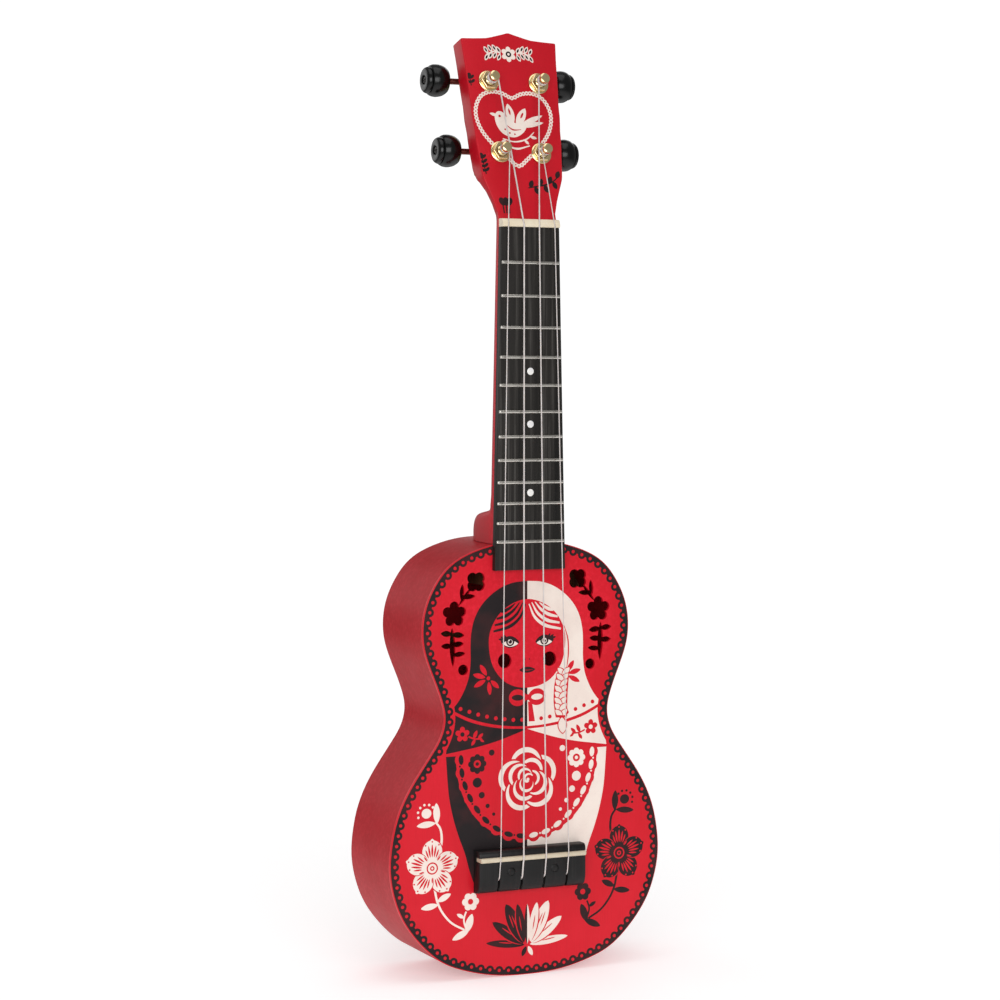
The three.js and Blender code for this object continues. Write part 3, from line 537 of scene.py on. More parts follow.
H2 = NO // 2
for side, name in ((1, "rib_right"), (-1, "rib_left")):
    idx = list(range(0, H2 + 1)) if side > 0 else list(range(H2, NO)) + [0]
    o, i_ = inset(0.0), inset(1.8)
    rings = []
    for q in idx:
        cx = 0.04 * side if q in (0, H2) else 0
        rings.append([(o[q][0] + cx, YF + PLATE, o[q][1]), (o[q][0] + cx, YF + DEPTH / 2, o[q][1]), (o[q][0] + cx, YF + DEPTH - PLATE, o[q][1]),
                      (i_[q][0] + cx, YF + DEPTH - PLATE, i_[q][1]), (i_[q][0] + cx, YF + PLATE, i_[q][1])])
    make(name + "_skin", *loft(rings), SIDE_PAINT_SHADE, "root", "paint_side", [name], 40)

# ---------------------------------------------------------------- neck, heel and headstock
NUT_HALF, TWELFTH_HALF, SCALE = 17.5, 21.05, 345.0


def half_neck(z):
    return NUT_HALF + (NUT_Z - z) / (SCALE / 2) * (TWELFTH_HALF - NUT_HALF)


HEAD_HALF = [(3.6, 17.4), (7.1, 18.4), (10.5, 19.3), (14, 20.5), (17.6, 21.8), (21.1, 23.1), (24.6, 24.2), (28.1, 24.6), (35.1, 25.1), (45.6, 26.0),
             (52.6, 26.2), (59.7, 26.9), (66.7, 26.9), (73.8, 27.4), (82.0, 27.8), (91.5, 28.2), (103.2, 29.0)]
CROWN = [(103.6, 28.7), (103.9, 22.0), (104.2, 17.5), (104.5, 14.0), (105.3, 10.6), (106.2, 7.4), (107.2, 3.8), (108.0, 1.2)]
NECK_D = [(236, 48), (246, 48), (249, 47.4), (252, 45.6), (254.5, 42), (256, 37), (257, 31), (258, 23), (259, 17.6), (261.5, 15.7), (275, 15.5), (330, 14.8), (395, 13.8), (412, 13.5), (416.5, 13.4)]
NECK_P = [(236, 3.0), (256, 3.0), (259, 2.5), (266, 2.15), (416.5, 2.15)]
HEAD_P = [(0, 2.25), (10, 2.35), (18, 2.8), (23, 4.2), (28, 10), (32, 24)]
tab = lambda T, x: float(np.interp(x, [t[0] for t in T], [t[1] for t in T]))
ANG = [math.radians(a) for a in range(5, 180, 5)]


def d_ring(w, depth, p, place, r=0.25):
    pts = [(x, 0.0) for x in np.linspace(-(w - r), w - r, 7)]
    pts += [(w - r + r * math.sin(a), r - r * math.cos(a)) for a in (math.radians(30), math.radians(60), math.radians(90))]
    pts += [(w * math.copysign(abs(math.cos(t)) ** (2 / p), math.cos(t)), depth * math.sin(t) ** (2 / p)) for t in ANG]
    pts += [(-(w - r + r * math.sin(a)), r - r * math.cos(a)) for a in (math.radians(90), math.radians(60), math.radians(30))]
    return [place(x, d) for x, d in pts]


def pchip(X, Y, xs):
    X, Y = np.array(X, float), np.array(Y, float)
    h, d = np.diff(X), np.diff(Y) / np.diff(X)
    m = np.zeros(len(X)); m[0], m[-1] = d[0], d[-1]
    for i in range(1, len(X) - 1):
        if d[i - 1] * d[i] > 0:
            w1, w2 = 2 * h[i] + h[i - 1], h[i] + 2 * h[i - 1]
            m[i] = (w1 + w2) / (w1 / d[i - 1] + w2 / d[i])
    k = np.clip(np.searchsorted(X, xs) - 1, 0, len(h) - 1)
    t = (xs - X[k]) / h[k]
    return (Y[k] * (1 + 2 * t) * (1 - t) ** 2 + m[k] * h[k] * t * (1 - t) ** 2 + Y[k + 1] * t * t * (3 - 2 * t) + m[k + 1] * h[k] * t * t * (t - 1))


zs = np.concatenate([np.arange(236, 262, 0.6), np.arange(262, 415.4, 5), [415.6]])
dep = pchip([t[0] for t in NECK_D], [t[1] for t in NECK_D], zs)
rings = []
for z, d in zip(zs, dep):
    w = 20.0 + (half_neck(z) - 20.0) * np.clip((z - 257.5) / 4.0, 0, 1)
    rings.append(d_ring(w, d, tab(NECK_P, z), lambda x, y, z=z: (x, YF + y, z)))
rings.append(d_ring(NUT_HALF, 13.0, 2.2, lambda x, d: (x, YF + d * math.cos(TILT / 2), HZ - d * math.sin(TILT / 2))))
ss = np.concatenate([np.arange(3.6, 36, 1.5), np.arange(36, 103, 4.0), [103.2]])
ws = pchip([t[0] for t in HEAD_HALF], [t[1] for t in HEAD_HALF], ss)
for s, w in list(zip(ss, ws)) + CROWN:
    T = HEAD_T if s > 14 else 12.9 - (s / 14) * (12.9 - HEAD_T)
    rings.append(d_ring(w, T, tab(HEAD_P, s), lambda x, d, s=s: head(x, d, s), 0.25 + 0.55 * np.clip(s / 30, 0, 1)))
neck = make("neck_carved", *loft(rings), NECK_PAINT_SHADE, "root", "paint_front", ["neck"], 38)
k = NO
heel_cut = ([(x, YF - 5, z) for x, z in inset(-0.3)] + [(x, YF + DEPTH + 5, z) for x, z in inset(-0.3)],
            [tuple(range(k))[::-1], tuple(range(k, 2 * k))] + [(j, (j + 1) % k, k + (j + 1) % k, k + j) for j in range(k)])
cut(neck, [heel_cut] + [turned(head(t["x"], -4, t["s"]), head(t["x"], 20, t["s"]), [(0, 0), (4.5, 0), (4.5, 24), (0, 24)], 40) for t in TUNERS])

# ---------------------------------------------------------------- fingerboard, frets, dots
z0, z1 = FB[0][2], FB[1][2]
v = [(sx * half_neck(z), y, z) for z in (z0, z1) for y in (YF - FB_T, YF) for sx in (-1, 1)]
bevel(make("fingerboard_plank", v, [(0, 1, 3, 2), (4, 6, 7, 5), (0, 4, 5, 1), (2, 3, 7, 6), (0, 2, 6, 4), (1, 5, 7, 3)], EBONY, "root", "dark_wood", ["fingerboard"]), 0.45, 4)
for n in range(1, 13):
    lo, hi = box("fret_%02d" % n)
    zc, w = (lo[2] + hi[2]) / 2, hi[0]
    top = (YF - FB_T) - lo[1]
    rings = []
    for x, sc in [(-w, 0.35), (-w + 0.12, 0.7), (-w + 0.35, 0.92), (-w + 0.8, 1.0), (w - 0.8, 1.0), (w - 0.35, 0.92), (w - 0.12, 0.7), (w, 0.35)]:
        rings.append([(x, YF - FB_T + 0.25, zc - 1.0 * sc)] + [(x, YF - FB_T - top * sc * math.sin(a), zc - 1.0 * sc * math.cos(a)) for a in np.linspace(0, math.pi, 13)] + [(x, YF - FB_T + 0.25, zc + 1.0 * sc)])
    make("fretwire_%02d" % n, *loft(rings), NICKEL, "root", "fret_metal", ["fret_%02d" % n])
for n in (5, 7, 10):
    lo, hi = box("marker_dot_%02d" % n)
    zc = (lo[2] + hi[2]) / 2
    a = (0, YF - FB_T + 1.0, zc)
    make("inlay_%02d" % n, *turned(a, (0, -1000, zc), [(0, 0), (2.0, 0), (2.0, 0.98), (1.85, 1.05), (0, 1.06)], 48), PEARL, "root", "pearl_plastic", ["marker_dot_%02d" % n])

# ---------------------------------------------------------------- strings' path, nut, bridge, saddle
STRING_R = [0.3, 0.45, 0.4, 0.3]
NUT_X, SAD_X, NUT_Y = [-14.0, -4.6, 4.6, 14.0], [-20.7, -6.9, 6.9, 20.7], -5.6
WAIST_R, COIL_GAP, TURNS, COIL_TOP = 2.0, 0.3, 2.25, 7.4
prof = [(0, NUT_Z + 0.02), (0, HZ), (-4.1, HZ), (-4.6, HZ - 0.25), (-5.3, NUT_Z + 3.0), (-5.65, NUT_Z + 2.2), (-5.8, NUT_Z + 1.4), (-5.8, NUT_Z + 0.6), (-5.55, NUT_Z + 0.15), (-5.0, NUT_Z + 0.02)]
xe = 17.3
nut = make("nut_bone", *loft([[(x, YF + y * sy, z) for y, z in prof] for x, sy in ((-xe, 0.95), (-xe + 0.35, 1.0), (xe - 0.35, 1.0), (xe, 0.95))]), BONE, "root", "ivory_plastic", ["nut"], 30)
cs = []
for i in range(4):
    x, r, t = NUT_X[i], STRING_R[i], TUNERS[i]
    y = NUT_Y + r + 0.08
    run = HZ + 1 - NUT_Z - 0.9
    dx = run * (t["x"] - t["side"] * (WAIST_R + COIL_GAP + r) - x) / (t["s"] + 3)
    w = r + 0.1
    ring = lambda xc, yb, z: [(xc - w, YF - 9, z), (xc - w, YF + yb - w * 0.6, z), (xc - w * 0.6, YF + yb, z), (xc + w * 0.6, YF + yb, z), (xc + w, YF + yb - w * 0.6, z), (xc + w, YF - 9, z)]
    cs.append(loft([ring(x, y, NUT_Z - 1), ring(x, y, NUT_Z + 0.9), ring(x + dx, y + 0.23 * run, HZ + 1)]))
cut(nut, cs)

BR = [(72.2, 0), (72.2, -6.0), (71.9, -6.8), (71.2, -7.5), (70.4, -7.85), (69.4, -8.0), (56.0, -8.0), (53.6, -7.8), (51.4, -7.1), (49.8, -6.1), (48.9, -5.0), (48.5, -3.8), (48.5, 0)]
xb = 32.5
bridge = make("bridge_block", *loft([[(x, YF + y * sy, z) for z, y in BR] for x, sy in ((-xb, 0.9), (-xb + 0.25, 0.965), (-xb + 0.8, 1.0), (xb - 0.8, 1.0), (xb - 0.25, 0.965), (xb, 0.9))]), BRIDGE_M, "root", "dark_plastic", ["bridge"], 24)
cs = [block(-40, 40, YF - 12, YF - 3.0, SADDLE_Z - 1.35, SADDLE_Z + 1.35)]
for x in SAD_X:
    cs += [block(x - 0.65, x + 0.65, YF - 12, YF - 1.6, 40, 57.0), turned((x, YF - 3.2, 40), (x, YF - 3.2, 60), [(0, 0), (1.45, 0), (1.45, 13.4), (0, 13.4)], 24)]
for x in (-13.2, 13.2):
    cs.append(turned((x, YF - 12, 60), (x, YF, 60), [(0, 0), (2.3, 0), (2.3, 4.8), (0, 4.8)], 32))
cut(bridge, cs)
for k, x in enumerate((-13.2, 13.2)):
    make("bridge_cap_%d" % (k + 1), *turned((x, YF - 7.2, 60), (x, YF - 20, 60), [(0, 0), (2.2, 0), (2.2, 0.55), (2.05, 0.72), (1.5, 0.86), (0, 0.92)], 32), BRIDGE_M, "root", "dark_plastic")
sp = [(-3.1, -1.3), (-3.1, 1.3), (-9.0, 1.3), (-9.45, 1.1), (-9.75, 0.7), (-9.9, 0.0), (-9.75, -0.7), (-9.45, -1.1), (-9.0, -1.3)]
make("saddle_bone", *loft([[(x, YF + (y if y > -4 else -3.1 + (y + 3.1) * sy), SADDLE_Z + z * sz) for y, z in sp] for x, sy, sz in
                           ((-32, 0.93, 0.8), (-31.8, 0.97, 0.95), (-31.2, 1, 1), (31.2, 1, 1), (31.8, 0.97, 0.95), (32, 0.93, 0.8))]), SADDLE, "root", "ivory_plastic", ["saddle"], 30)

for i in range(4):
    t, r, inner = TUNERS[i], STRING_R[i], -TUNERS[i]["side"]
    sx, nx, over = SAD_X[i], NUT_X[i], -8.0 - r - 0.12
    pts, rad = [], []
    def push(p, rr=r):
        pts.append(p); rad.append(rr)
    for q in range(25):                                  # the knot: two close turns in the pocket
        a = q / 12 * 2 * math.pi
        push((sx + 0.5 * math.cos(a), YF - 3.2 + 0.5 * math.sin(a), 49.9 + q * 0.075), min(r, 0.4))
    push((sx, YF - 3.2, 52.4)); push((sx, YF - 3.9, 53.4)); push((sx, YF + over + 1.6, 57 - r - 0.9)); push((sx, YF + over + 0.6, 57 - r - 0.2))
    push((sx, YF + over, 57.4)); push((sx, YF - SADDLE_TOP - r - 0.02 + 0.5, SADDLE_Z - 2.2)); push((sx, YF - SADDLE_TOP - r - 0.04, SADDLE_Z - 0.4)); push((sx, YF - SADDLE_TOP - r - 0.04, SADDLE_Z + 0.4))
    for q in (0.25, 0.5, 0.75):
        push((sx + (nx - sx) * q, YF + (-SADDLE_TOP - r) + (NUT_Y + SADDLE_TOP + r) * q, SADDLE_Z + (NUT_Z - SADDLE_Z) * q))
    push((nx, YF + NUT_Y, NUT_Z + 0.1)); push((nx, YF + NUT_Y, NUT_Z + 0.9))
    coil, dx, ds = WAIST_R + COIL_GAP + r, t["x"] - nx, t["s"]
    a0 = math.atan2(ds, dx) + math.pi + inner * math.acos(coil / math.hypot(dx, ds))
    for q in range(int(TURNS * 40) + 1):
        a = a0 + inner * q / 40 * 2 * math.pi
        push(head(t["x"] + coil * math.cos(a), -(COIL_TOP - q / 40 * (2 * r + 0.06)), t["s"] + coil * math.sin(a)))
    make("string_nylon_%d" % (i + 1), *tube(pts, rad), NYLON, "root", "nylon", ["string_%d" % (i + 1)], 60)

# ---------------------------------------------------------------- geared tuners
TEETH, PR, WR = 14, 3.85, 2.45
LEAD = 2 * math.pi * PR / TEETH
SLANT = LEAD / (2 * math.pi * WR) / PR
for t in TUNERS:
    n, x, s, sd, wd, ks, kn = t["n"], t["x"], t["s"], t["side"], t["w"], t["ks"], t["knob"]
    A = lambda w: head(x, w, s)
    root, post, knob = "root", "post_%d" % n, "knob_%d" % n
    make("washer_%d" % n, *turned(A(0), A(-10), [(3.3, -10.0), (4.15, -10.0), (4.15, 0.3), (5.7, 0.3), (5.95, 0.5), (5.95, 1.0), (5.7, 1.25), (5.1, 1.4), (3.3, 1.4), (3.3, -10.0)], 64), GOLD, root, "gold_metal", ["tuner_bushing_%d" % n])
    hexa = lambda r, w: [head(x + r * math.cos(a), w, s + r * math.sin(a)) for a in (math.pi / 3 * k for k in range(6))]
    nutv, nutf = loft([hexa(5.1, -1.35), hexa(5.4, -1.6), hexa(5.4, -2.75), hexa(4.9, -3.2)])
    hn = make("hex_collar_%d" % n, nutv, nutf, GOLD, root, "gold_metal")
    cut(hn, [turned(A(0), A(-6), [(0, 0), (3.2, 0), (3.2, 6), (0, 6)], 40)])
    bevel(hn, 0.22, 3, 25)
    pp = [(0, -22.4), (2.4, -22.4), (2.4, -17.2), (2.9, -16.9), (2.95, -16.6), (2.95, 3.2), (2.7, 3.5), (2.15, 3.75), (2.0, 4.0), (2.0, 7.9), (2.15, 8.2), (2.75, 8.5), (2.95, 8.8), (2.95, 9.5), (2.8, 9.95), (2.4, 10.2), (1.6, 10.3), (0, 10.3)]
    po = make("capstan_%d" % n, *turned(A(0), A(-10), pp, 56), GOLD, post, "gold_metal", ["tuner_post_%d" % n])
    cut(po, [turned(head(x - 5, -7.0, s), head(x + 5, -7.0, s), [(0, 0), (0.7, 0), (0.7, 10), (0, 10)], 20)])
    rings = []
    for dy in np.linspace(-1.5, 1.5, 5):
        ring = []
        for k in range(TEETH):
            a = math.pi / 2 + math.pi / TEETH + k * 2 * math.pi / TEETH - dy * SLANT
            for da, r in ((-0.085, 3.15), (-0.06, 4.1), (-0.035, 4.3), (0.035, 4.3), (0.06, 4.1), (0.085, 3.15)):
                ring.append(head(x + r * math.cos(a + da), wd + dy, s + r * math.sin(a + da)))
        rings.append(ring)
    make("gear_wheel_%d" % n, *loft(rings), GOLD, post, "gold_metal")
    # gear case: rounded all round, hollow, with the ear and its screw below
    def rr(hx, s0, s1, c, w, m=8):
        pts = []
        for cx, cs, a0 in ((hx - c, s1 - c, 0), (-hx + c, s1 - c, 90), (-hx + c, s0 + c, 180), (hx - c, s0 + c, 270)):
            for k in range(m + 1):
                a = math.radians(a0 + 90 * k / m)
                pts.append(head(x + cx + c * math.cos(a), w, s + cs + c * math.sin(a)))
        return pts
    W0 = HEAD_T + 0.3
    rings = [rr(6.2, -6.7, 10.7, 1.6, W0), rr(6.5, -7, 11, 1.8, W0 + 0.4), rr(6.5, -7, 11, 1.8, 22.4), rr(6.42, -6.92, 10.92, 1.8, 23.2), rr(6.1, -6.6, 10.6, 1.9, 23.95), rr(5.5, -6, 10, 1.9, 24.55), rr(4.7, -5.2, 9.2, 1.8, 24.9), rr(3.8, -4.3, 8.3, 1.7, 25.0)]
    hs = make("gear_case_%d" % n, *loft(rings), GOLD, root, "gold_metal", ["tuner_housing_%d" % n], 50)
    X = lambda u: x + sd * u
    cut(hs, [turned(head(x, 5, s), head(x, 30, s), [(0, 0), (4.8, 0), (4.8, 16), (2.65, 16), (2.65, 17.8), (0, 17.8)], 40),
             turned(head(X(-4.5), wd, ks), head(X(30), wd, ks), [(0, 0), (3.15, 0), (3.15, 16.5), (0, 16.5)], 36), turned(head(X(-6.1), wd, ks), head(X(30), wd, ks), [(0, 0), (1.6, 0), (1.6, 6), (0, 6)], 24)])
    make("case_boss_%d" % n, *turned(head(X(6.2), wd, ks), head(X(30), wd, ks), [(3.1, 0), (3.9, 0), (3.9, 1.0), (3.6, 1.3), (3.1, 1.3), (3.1, 0)], 48), GOLD, root, "gold_metal")
    ear = [head(x + a, w, s + b) for w in (W0, W0 + 1.4) for a, b in [(4, -6.6)] + [(4 * math.cos(q), -9.4 + 3.6 * math.sin(q)) for q in np.linspace(0, -math.pi, 17)] + [(-4, -6.6)]]
    k = len(ear) // 2
    er = make("case_ear_%d" % n, ear, [tuple(range(k))[::-1], tuple(range(k, 2 * k))] + [(j, (j + 1) % k, k + (j + 1) % k, k + j) for j in range(k)], GOLD, root, "gold_metal")
    bevel(er, 0.3, 3)
    sc = make("case_screw_%d" % n, *turned(head(x, W0 + 1.0, s - 9.9), head(x, 40, s - 9.9), [(0, -6.0), (0.5, -5.0), (1.1, -3.5), (1.1, 0.3), (2.1, 0.4), (2.1, 0.7), (1.85, 1.1), (1.2, 1.4), (0, 1.5)], 36), GOLD, root, "gold_metal")
    cut(sc, [loft([[head(x + a * 1.3, w, s - 9.9 + b * 0.25) for a, b in ((-1, -1), (1, -1), (1, 1), (-1, 1))] for w in (W0 + 1.95, W0 + 4)]),
             loft([[head(x + a * 0.25, w, s - 9.9 + b * 1.3) for a, b in ((-1, -1), (1, -1), (1, 1), (-1, 1))] for w in (W0 + 1.95, W0 + 4)])])
    # worm shaft
    u0, ue = -5.9, (kn - sd * 6.7 - x) * sd
    make("worm_spindle_%d" % n, *turned(head(X(0), wd, ks), head(X(50), wd, ks), [(0, u0), (1.2, u0), (1.35, u0 + 0.2), (1.35, -4.0), (1.75, -3.9), (1.75, 4.3), (2.85, 4.4), (2.85, 7.0), (2.65, 7.2), (1.8, 7.25), (1.7, 7.4), (1.7, ue), (1.2, ue), (1.2, ue + 8.2), (0, ue + 8.2)], 36), SHAFT_RED_REFLECTION, knob, "shaft_metal", ["tuner_shaft_%d" % n])
    rings = []
    for k in range(4 * 36 + 1):
        a = -math.pi / 2 + (k / 36 - 2) * 2 * math.pi
        ax = lambda dx, r, a=a, xx=LEAD * (k / 36 - 2): head(x + xx + dx, wd + r * math.cos(a), ks + r * math.sin(a))
        rings.append([ax(-0.3, 1.6), ax(0.3, 1.6), ax(0.2, 2.8), ax(0.12, 2.9), ax(-0.12, 2.9), ax(-0.2, 2.8)])
    make("worm_thread_%d" % n, *loft(rings), SHAFT_RED_REFLECTION, knob, "shaft_metal")
    dome = smooth_profile([(5.9, -6.7), (6.7, -6.45), (7.5, -5.5), (8.5, -3.6), (9.05, -0.8), (8.85, 1.6), (8.25, 3.1), (7.75, 3.75)], 5)
    cap = smooth_profile([(7.35, 4.45), (7.3, 5.0), (6.9, 5.9), (6.3, 6.5), (5.5, 6.8)], 4)
    bp = [(1.3, -4.5), (1.3, -6.3), (1.5, -6.7), (5.4, -6.7)] + dome + [(7.2, 3.85), (7.0, 4.0), (7.0, 4.25), (7.2, 4.35)] + cap + [(4.4, 6.88), (3.0, 6.88), (2.45, 6.6), (2.4, 6.2), (2.4, 4.3), (1.3, 4.3), (1.3, -4.5)]
    make("button_%d" % n, *turned(head(kn, wd, ks), head(kn + sd * 50, wd, ks), bp, 72), BLACK, knob, "button_plastic", ["tuner_button_%d" % n])
    bs = make("button_screw_%d" % n, *turned(head(kn, wd, ks), head(kn + sd * 50, wd, ks), [(0, 2.2), (1.1, 2.2), (1.1, 4.6), (2.15, 4.7), (2.15, 5.8), (1.8, 6.3), (1.1, 6.55), (0, 6.6)], 36), SCREW, knob, "shaft_metal")
    q = kn + sd * 5.9
    cut(bs, [loft([[head(q + sd * dd, wd + a, ks + b) for a, b in pts] for dd in (0, 3)]) for pts in ([(-1.2, -0.22), (1.2, -0.22), (1.2, 0.22), (-1.2, 0.22)], [(-0.22, -1.2), (0.22, -1.2), (0.22, 1.2), (-0.22, 1.2)])])

# inside the body, the solids keep their shape and take a bare wood finish
for node, ob in frame["nodes"].items():
    if node.startswith(("lining", "brace", "neck_block", "tail_block", "bridge_plate", "neck_dowel")):
        ob.data.materials.clear(); ob.data.materials.append(BARE)

# ---------------------------------------------------------------- printed decoration: original folk motifs as thin raised ink
# Shapes are painted in order, each over the last: black, cream, or bare (the red paint shows through).
# The whole print is then split into one flat partition, so no two pieces of ink overlap.
on_body = lambda x, z, h: (x, YF - h, z)
on_head = lambda x, s, h: head(x, -h, s)
KK, CC, NO_INK = "K", "C", "-"


def ccw(p):
    area = sum(p[i - 1][0] * p[i][1] - p[i][0] * p[i - 1][1] for i in range(len(p)))
    return p if area > 0 else p[::-1]


def flip(p):
    return [(-x, z) for x, z in p][::-1]


class Print:
    def __init__(self):
        self.ops = []

    def add(self, ink_, *polys):
        for p in polys:
            self.ops.append((ccw([(float(x), float(z)) for x, z in p]), ink_))

    def both(self, polys, right=CC, left=KK):
        """the right half takes one ink and its mirror image the other"""
        for p in polys:
            self.add(right, p)
            self.add(left, flip(p))

    def rim(self, tris):
        """edges with a triangle on one side only"""
        seen = {(t[i], t[(i + 1) % 3]) for t in tris for i in range(3)}
        return sorted(e for e in seen if (e[1], e[0]) not in seen)

    def build(self, name, where, h=0.040, depth=0.02):
        co, faces = [], []
        for p, _ in self.ops:
            k = len(co)
            co += [Vector(q) for q in p]
            faces.append(list(range(k, k + len(p))))
        V, _, F, _, _, src = delaunay_2d_cdt(co, [], faces, 1, 1e-4, True)
        V = [(v[0], v[1]) for v in V]
        for ink_, mat, slot_name, tag in ((KK, INK_K, "dark_plastic", "black"), (CC, INK_C, "ivory_plastic", "cream")):
            tris = []
            for t, s_ in zip(F, src):
                if s_ and self.ops[max(s_)][1] == ink_:
                    a, b, c = (V[i] for i in t)
                    area = (b[0] - a[0]) * (c[1] - a[1]) - (c[0] - a[0]) * (b[1] - a[1])
                    if abs(area) > 1e-7:
                        tris.append(tuple(t) if area > 0 else tuple(t)[::-1])
            rim = self.rim(tris)
            starts = [e[0] for e in rim]
            for v0 in sorted({v for v in starts if starts.count(v) > 1}):
                left = [k for k, t in enumerate(tris) if v0 in t]
                while left:                              # one fan of triangles round the corner at a time
                    fan_ = [left.pop()]
                    for j in fan_:
                        for k in left[:]:
                            if len(set(tris[k]) & set(tris[j])) >= 2:
                                fan_.append(k); left.remove(k)
                    cx = np.mean([V[i] for k in fan_ for i in tris[k]], axis=0) - V[v0]
                    cx = cx / (np.hypot(*cx) or 1) * 0.01
                    V.append((V[v0][0] + float(cx[0]), V[v0][1] + float(cx[1])))
                    for k in fan_:
                        tris[k] = tuple(len(V) - 1 if i == v0 else i for i in tris[k])
            rim = self.rim(tris)
            used = sorted({i for t in tris for i in t})
            new = {i: k for k, i in enumerate(used)}
            n = len(used)
            v = [where(V[i][0], V[i][1], h) for i in used] + [where(V[i][0], V[i][1], -depth) for i in used]
            f = [tuple(new[i] for i in t) for t in tris] + [tuple(new[i] + n for i in t[::-1]) for t in tris]
            f += [(new[e[0]], new[e[0]] + n, new[e[1]] + n, new[e[1]]) for e in rim]
            ob = make(name + "_" + tag, v, f, mat, "root", slot_name, recalc=False, smooth=False)
            bm = bmesh.new()
            bm.from_mesh(ob.data)
            bmesh.ops.dissolve_degenerate(bm, dist=4e-7, edges=bm.edges)
            bmesh.ops.recalc_face_normals(bm, faces=bm.faces)
            bmesh.ops.dissolve_limit(bm, angle_limit=math.radians(0.5), verts=bm.verts, edges=bm.edges, delimit={"NORMAL"})
            bmesh.ops.triangulate(bm, faces=[q for q in bm.faces if len(q.verts) > 4])
            bmesh.ops.delete(bm, geom=[q for q in bm.verts if not q.link_faces], context="VERTS")
            bm.to_mesh(ob.data)
            bm.free()


def spline(pts, n=10, closed=False):
    P = [np.array(p, float) for p in pts]
    P = ([P[-1]] + P + [P[0], P[1]]) if closed else ([2 * P[0] - P[1]] + P + [2 * P[-1] - P[-2]])
    out = []
    for i in range(1, len(P) - 2):
        for k in range(n):
            t = k / n
            out.append(0.5 * ((2 * P[i]) + (P[i + 1] - P[i - 1]) * t + (2 * P[i - 1] - 5 * P[i] + 4 * P[i + 1] - P[i + 2]) * t * t + (3 * P[i] - P[i - 1] - 3 * P[i + 1] + P[i + 2]) * t ** 3))
    if not closed:
        out.append(P[-2])
    return [tuple(p) for p in out]


def stroke(pts, *widths):
    """a ribbon along pts; widths are spread evenly along it"""
    P = np.array(pts, float)
    T = np.gradient(P, axis=0); T /= np.linalg.norm(T, axis=1)[:, None]
    N = np.stack([-T[:, 1], T[:, 0]], 1)
    W = np.interp(np.linspace(0, 1, len(P)), np.linspace(0, 1, len(widths)) if len(widths) > 1 else [0, 1], widths if len(widths) > 1 else list(widths) * 2)[:, None] / 2
    return [tuple(p) for p in P + N * W] + [tuple(p) for p in (P - N * W)[::-1]]


def along(pts, gap, start=0.0, stop=0.0):
    P = np.array(pts, float)
    D = np.concatenate([[0], np.cumsum(np.linalg.norm(np.diff(P, axis=0), axis=1))])
    return [(float(np.interp(u, D, P[:, 0])), float(np.interp(u, D, P[:, 1]))) for u in np.arange(start, D[-1] - stop, gap)]


def ray(cx, cz, a, r):
    return cx + r * math.cos(a), cz + r * math.sin(a)


def petal(cx, cz, a, r0, r1, h, n=12, power=0.7):
    return leaf(*ray(cx, cz, a, r0), *ray(cx, cz, a, r1), h, n, power)


rad = math.radians
B = Print()
# shawl and hood
side_pts = [(0.0, 219.6), (8, 219.0), (15.5, 216.6), (22.5, 212.2), (28.2, 206.4), (32.0, 199.5), (33.9, 191.5), (34.3, 184), (34.3, 176), (35.4, 167.5), (38.2, 160.2), (41.6, 154.6), (45.6, 150.0)]
hem = [(45.6, 150.0), (34, 144.6), (22, 141.2), (10, 139.4), (0.0, 138.9)]
B.both([spline(side_pts, 8) + spline(hem, 8)[1:]])
B.both([spline([(45.6, 148.2), (34.5, 142.9), (22, 139.5), (11, 138.0), (0.0, 137.4)], 8) + spline([(0.0, 137.4), (9.0, 134.4), (19, 131.4), (30, 129.0), (40, 127.4), (49.0, 126.1)], 8)[1:] + spline([(49.0, 126.1), (47.4, 137), (45.6, 148.2)], 5)[1:-1]])
# sides of the skirt, with the apron's scalloped edge let in
B.both([spline([(43.3, 124.6), (42.2, 113.5), (39.6, 104.0), (35.0, 94.8), (28.6, 87.0), (20.5, 81.0), (10.5, 77.0), (0.0, 75.6)], 8) + [(0.0, 50.4), (31.2, 50.4)] + spline([(31.2, 50.4), (34.8, 60.2), (37.8, 70.6), (41.4, 80.0), (44.7, 90.5), (47.4, 104), (49.0, 124.6)], 8)[1:]])
bead_c = [(40.0, 122.4), (39.5, 115.2), (37.6, 108.0), (34.6, 101.0), (30.4, 94.4), (25.2, 88.2), (18.6, 83.0), (11.4, 79.4), (3.9, 77.9)]
for k, (x, z) in enumerate(bead_c):
    B.both([disc(x, z, 3.75, 32)], NO_INK, NO_INK)
for k, (x, z) in enumerate(bead_c):
    x2, z2 = bead_c[min(k + 1, len(bead_c) - 1)]; x1_, z1_ = bead_c[max(k - 1, 0)]
    a = math.atan2(z2 - z1_, x2 - x1_)
    B.both([ellipse(x, z, 2.75, 1.45, a, 24)])
    if k:
        mx, mz = (x + x1_) / 2, (z + z1_) / 2
        B.both([disc(mx - math.sin(a), mz, 0.55, 12)])
# bare wood under the bridge
B.add(NO_INK, [(-32.2, 49.0), (32.2, 49.0), (32.2, 71.8), (-32.2, 71.8)])
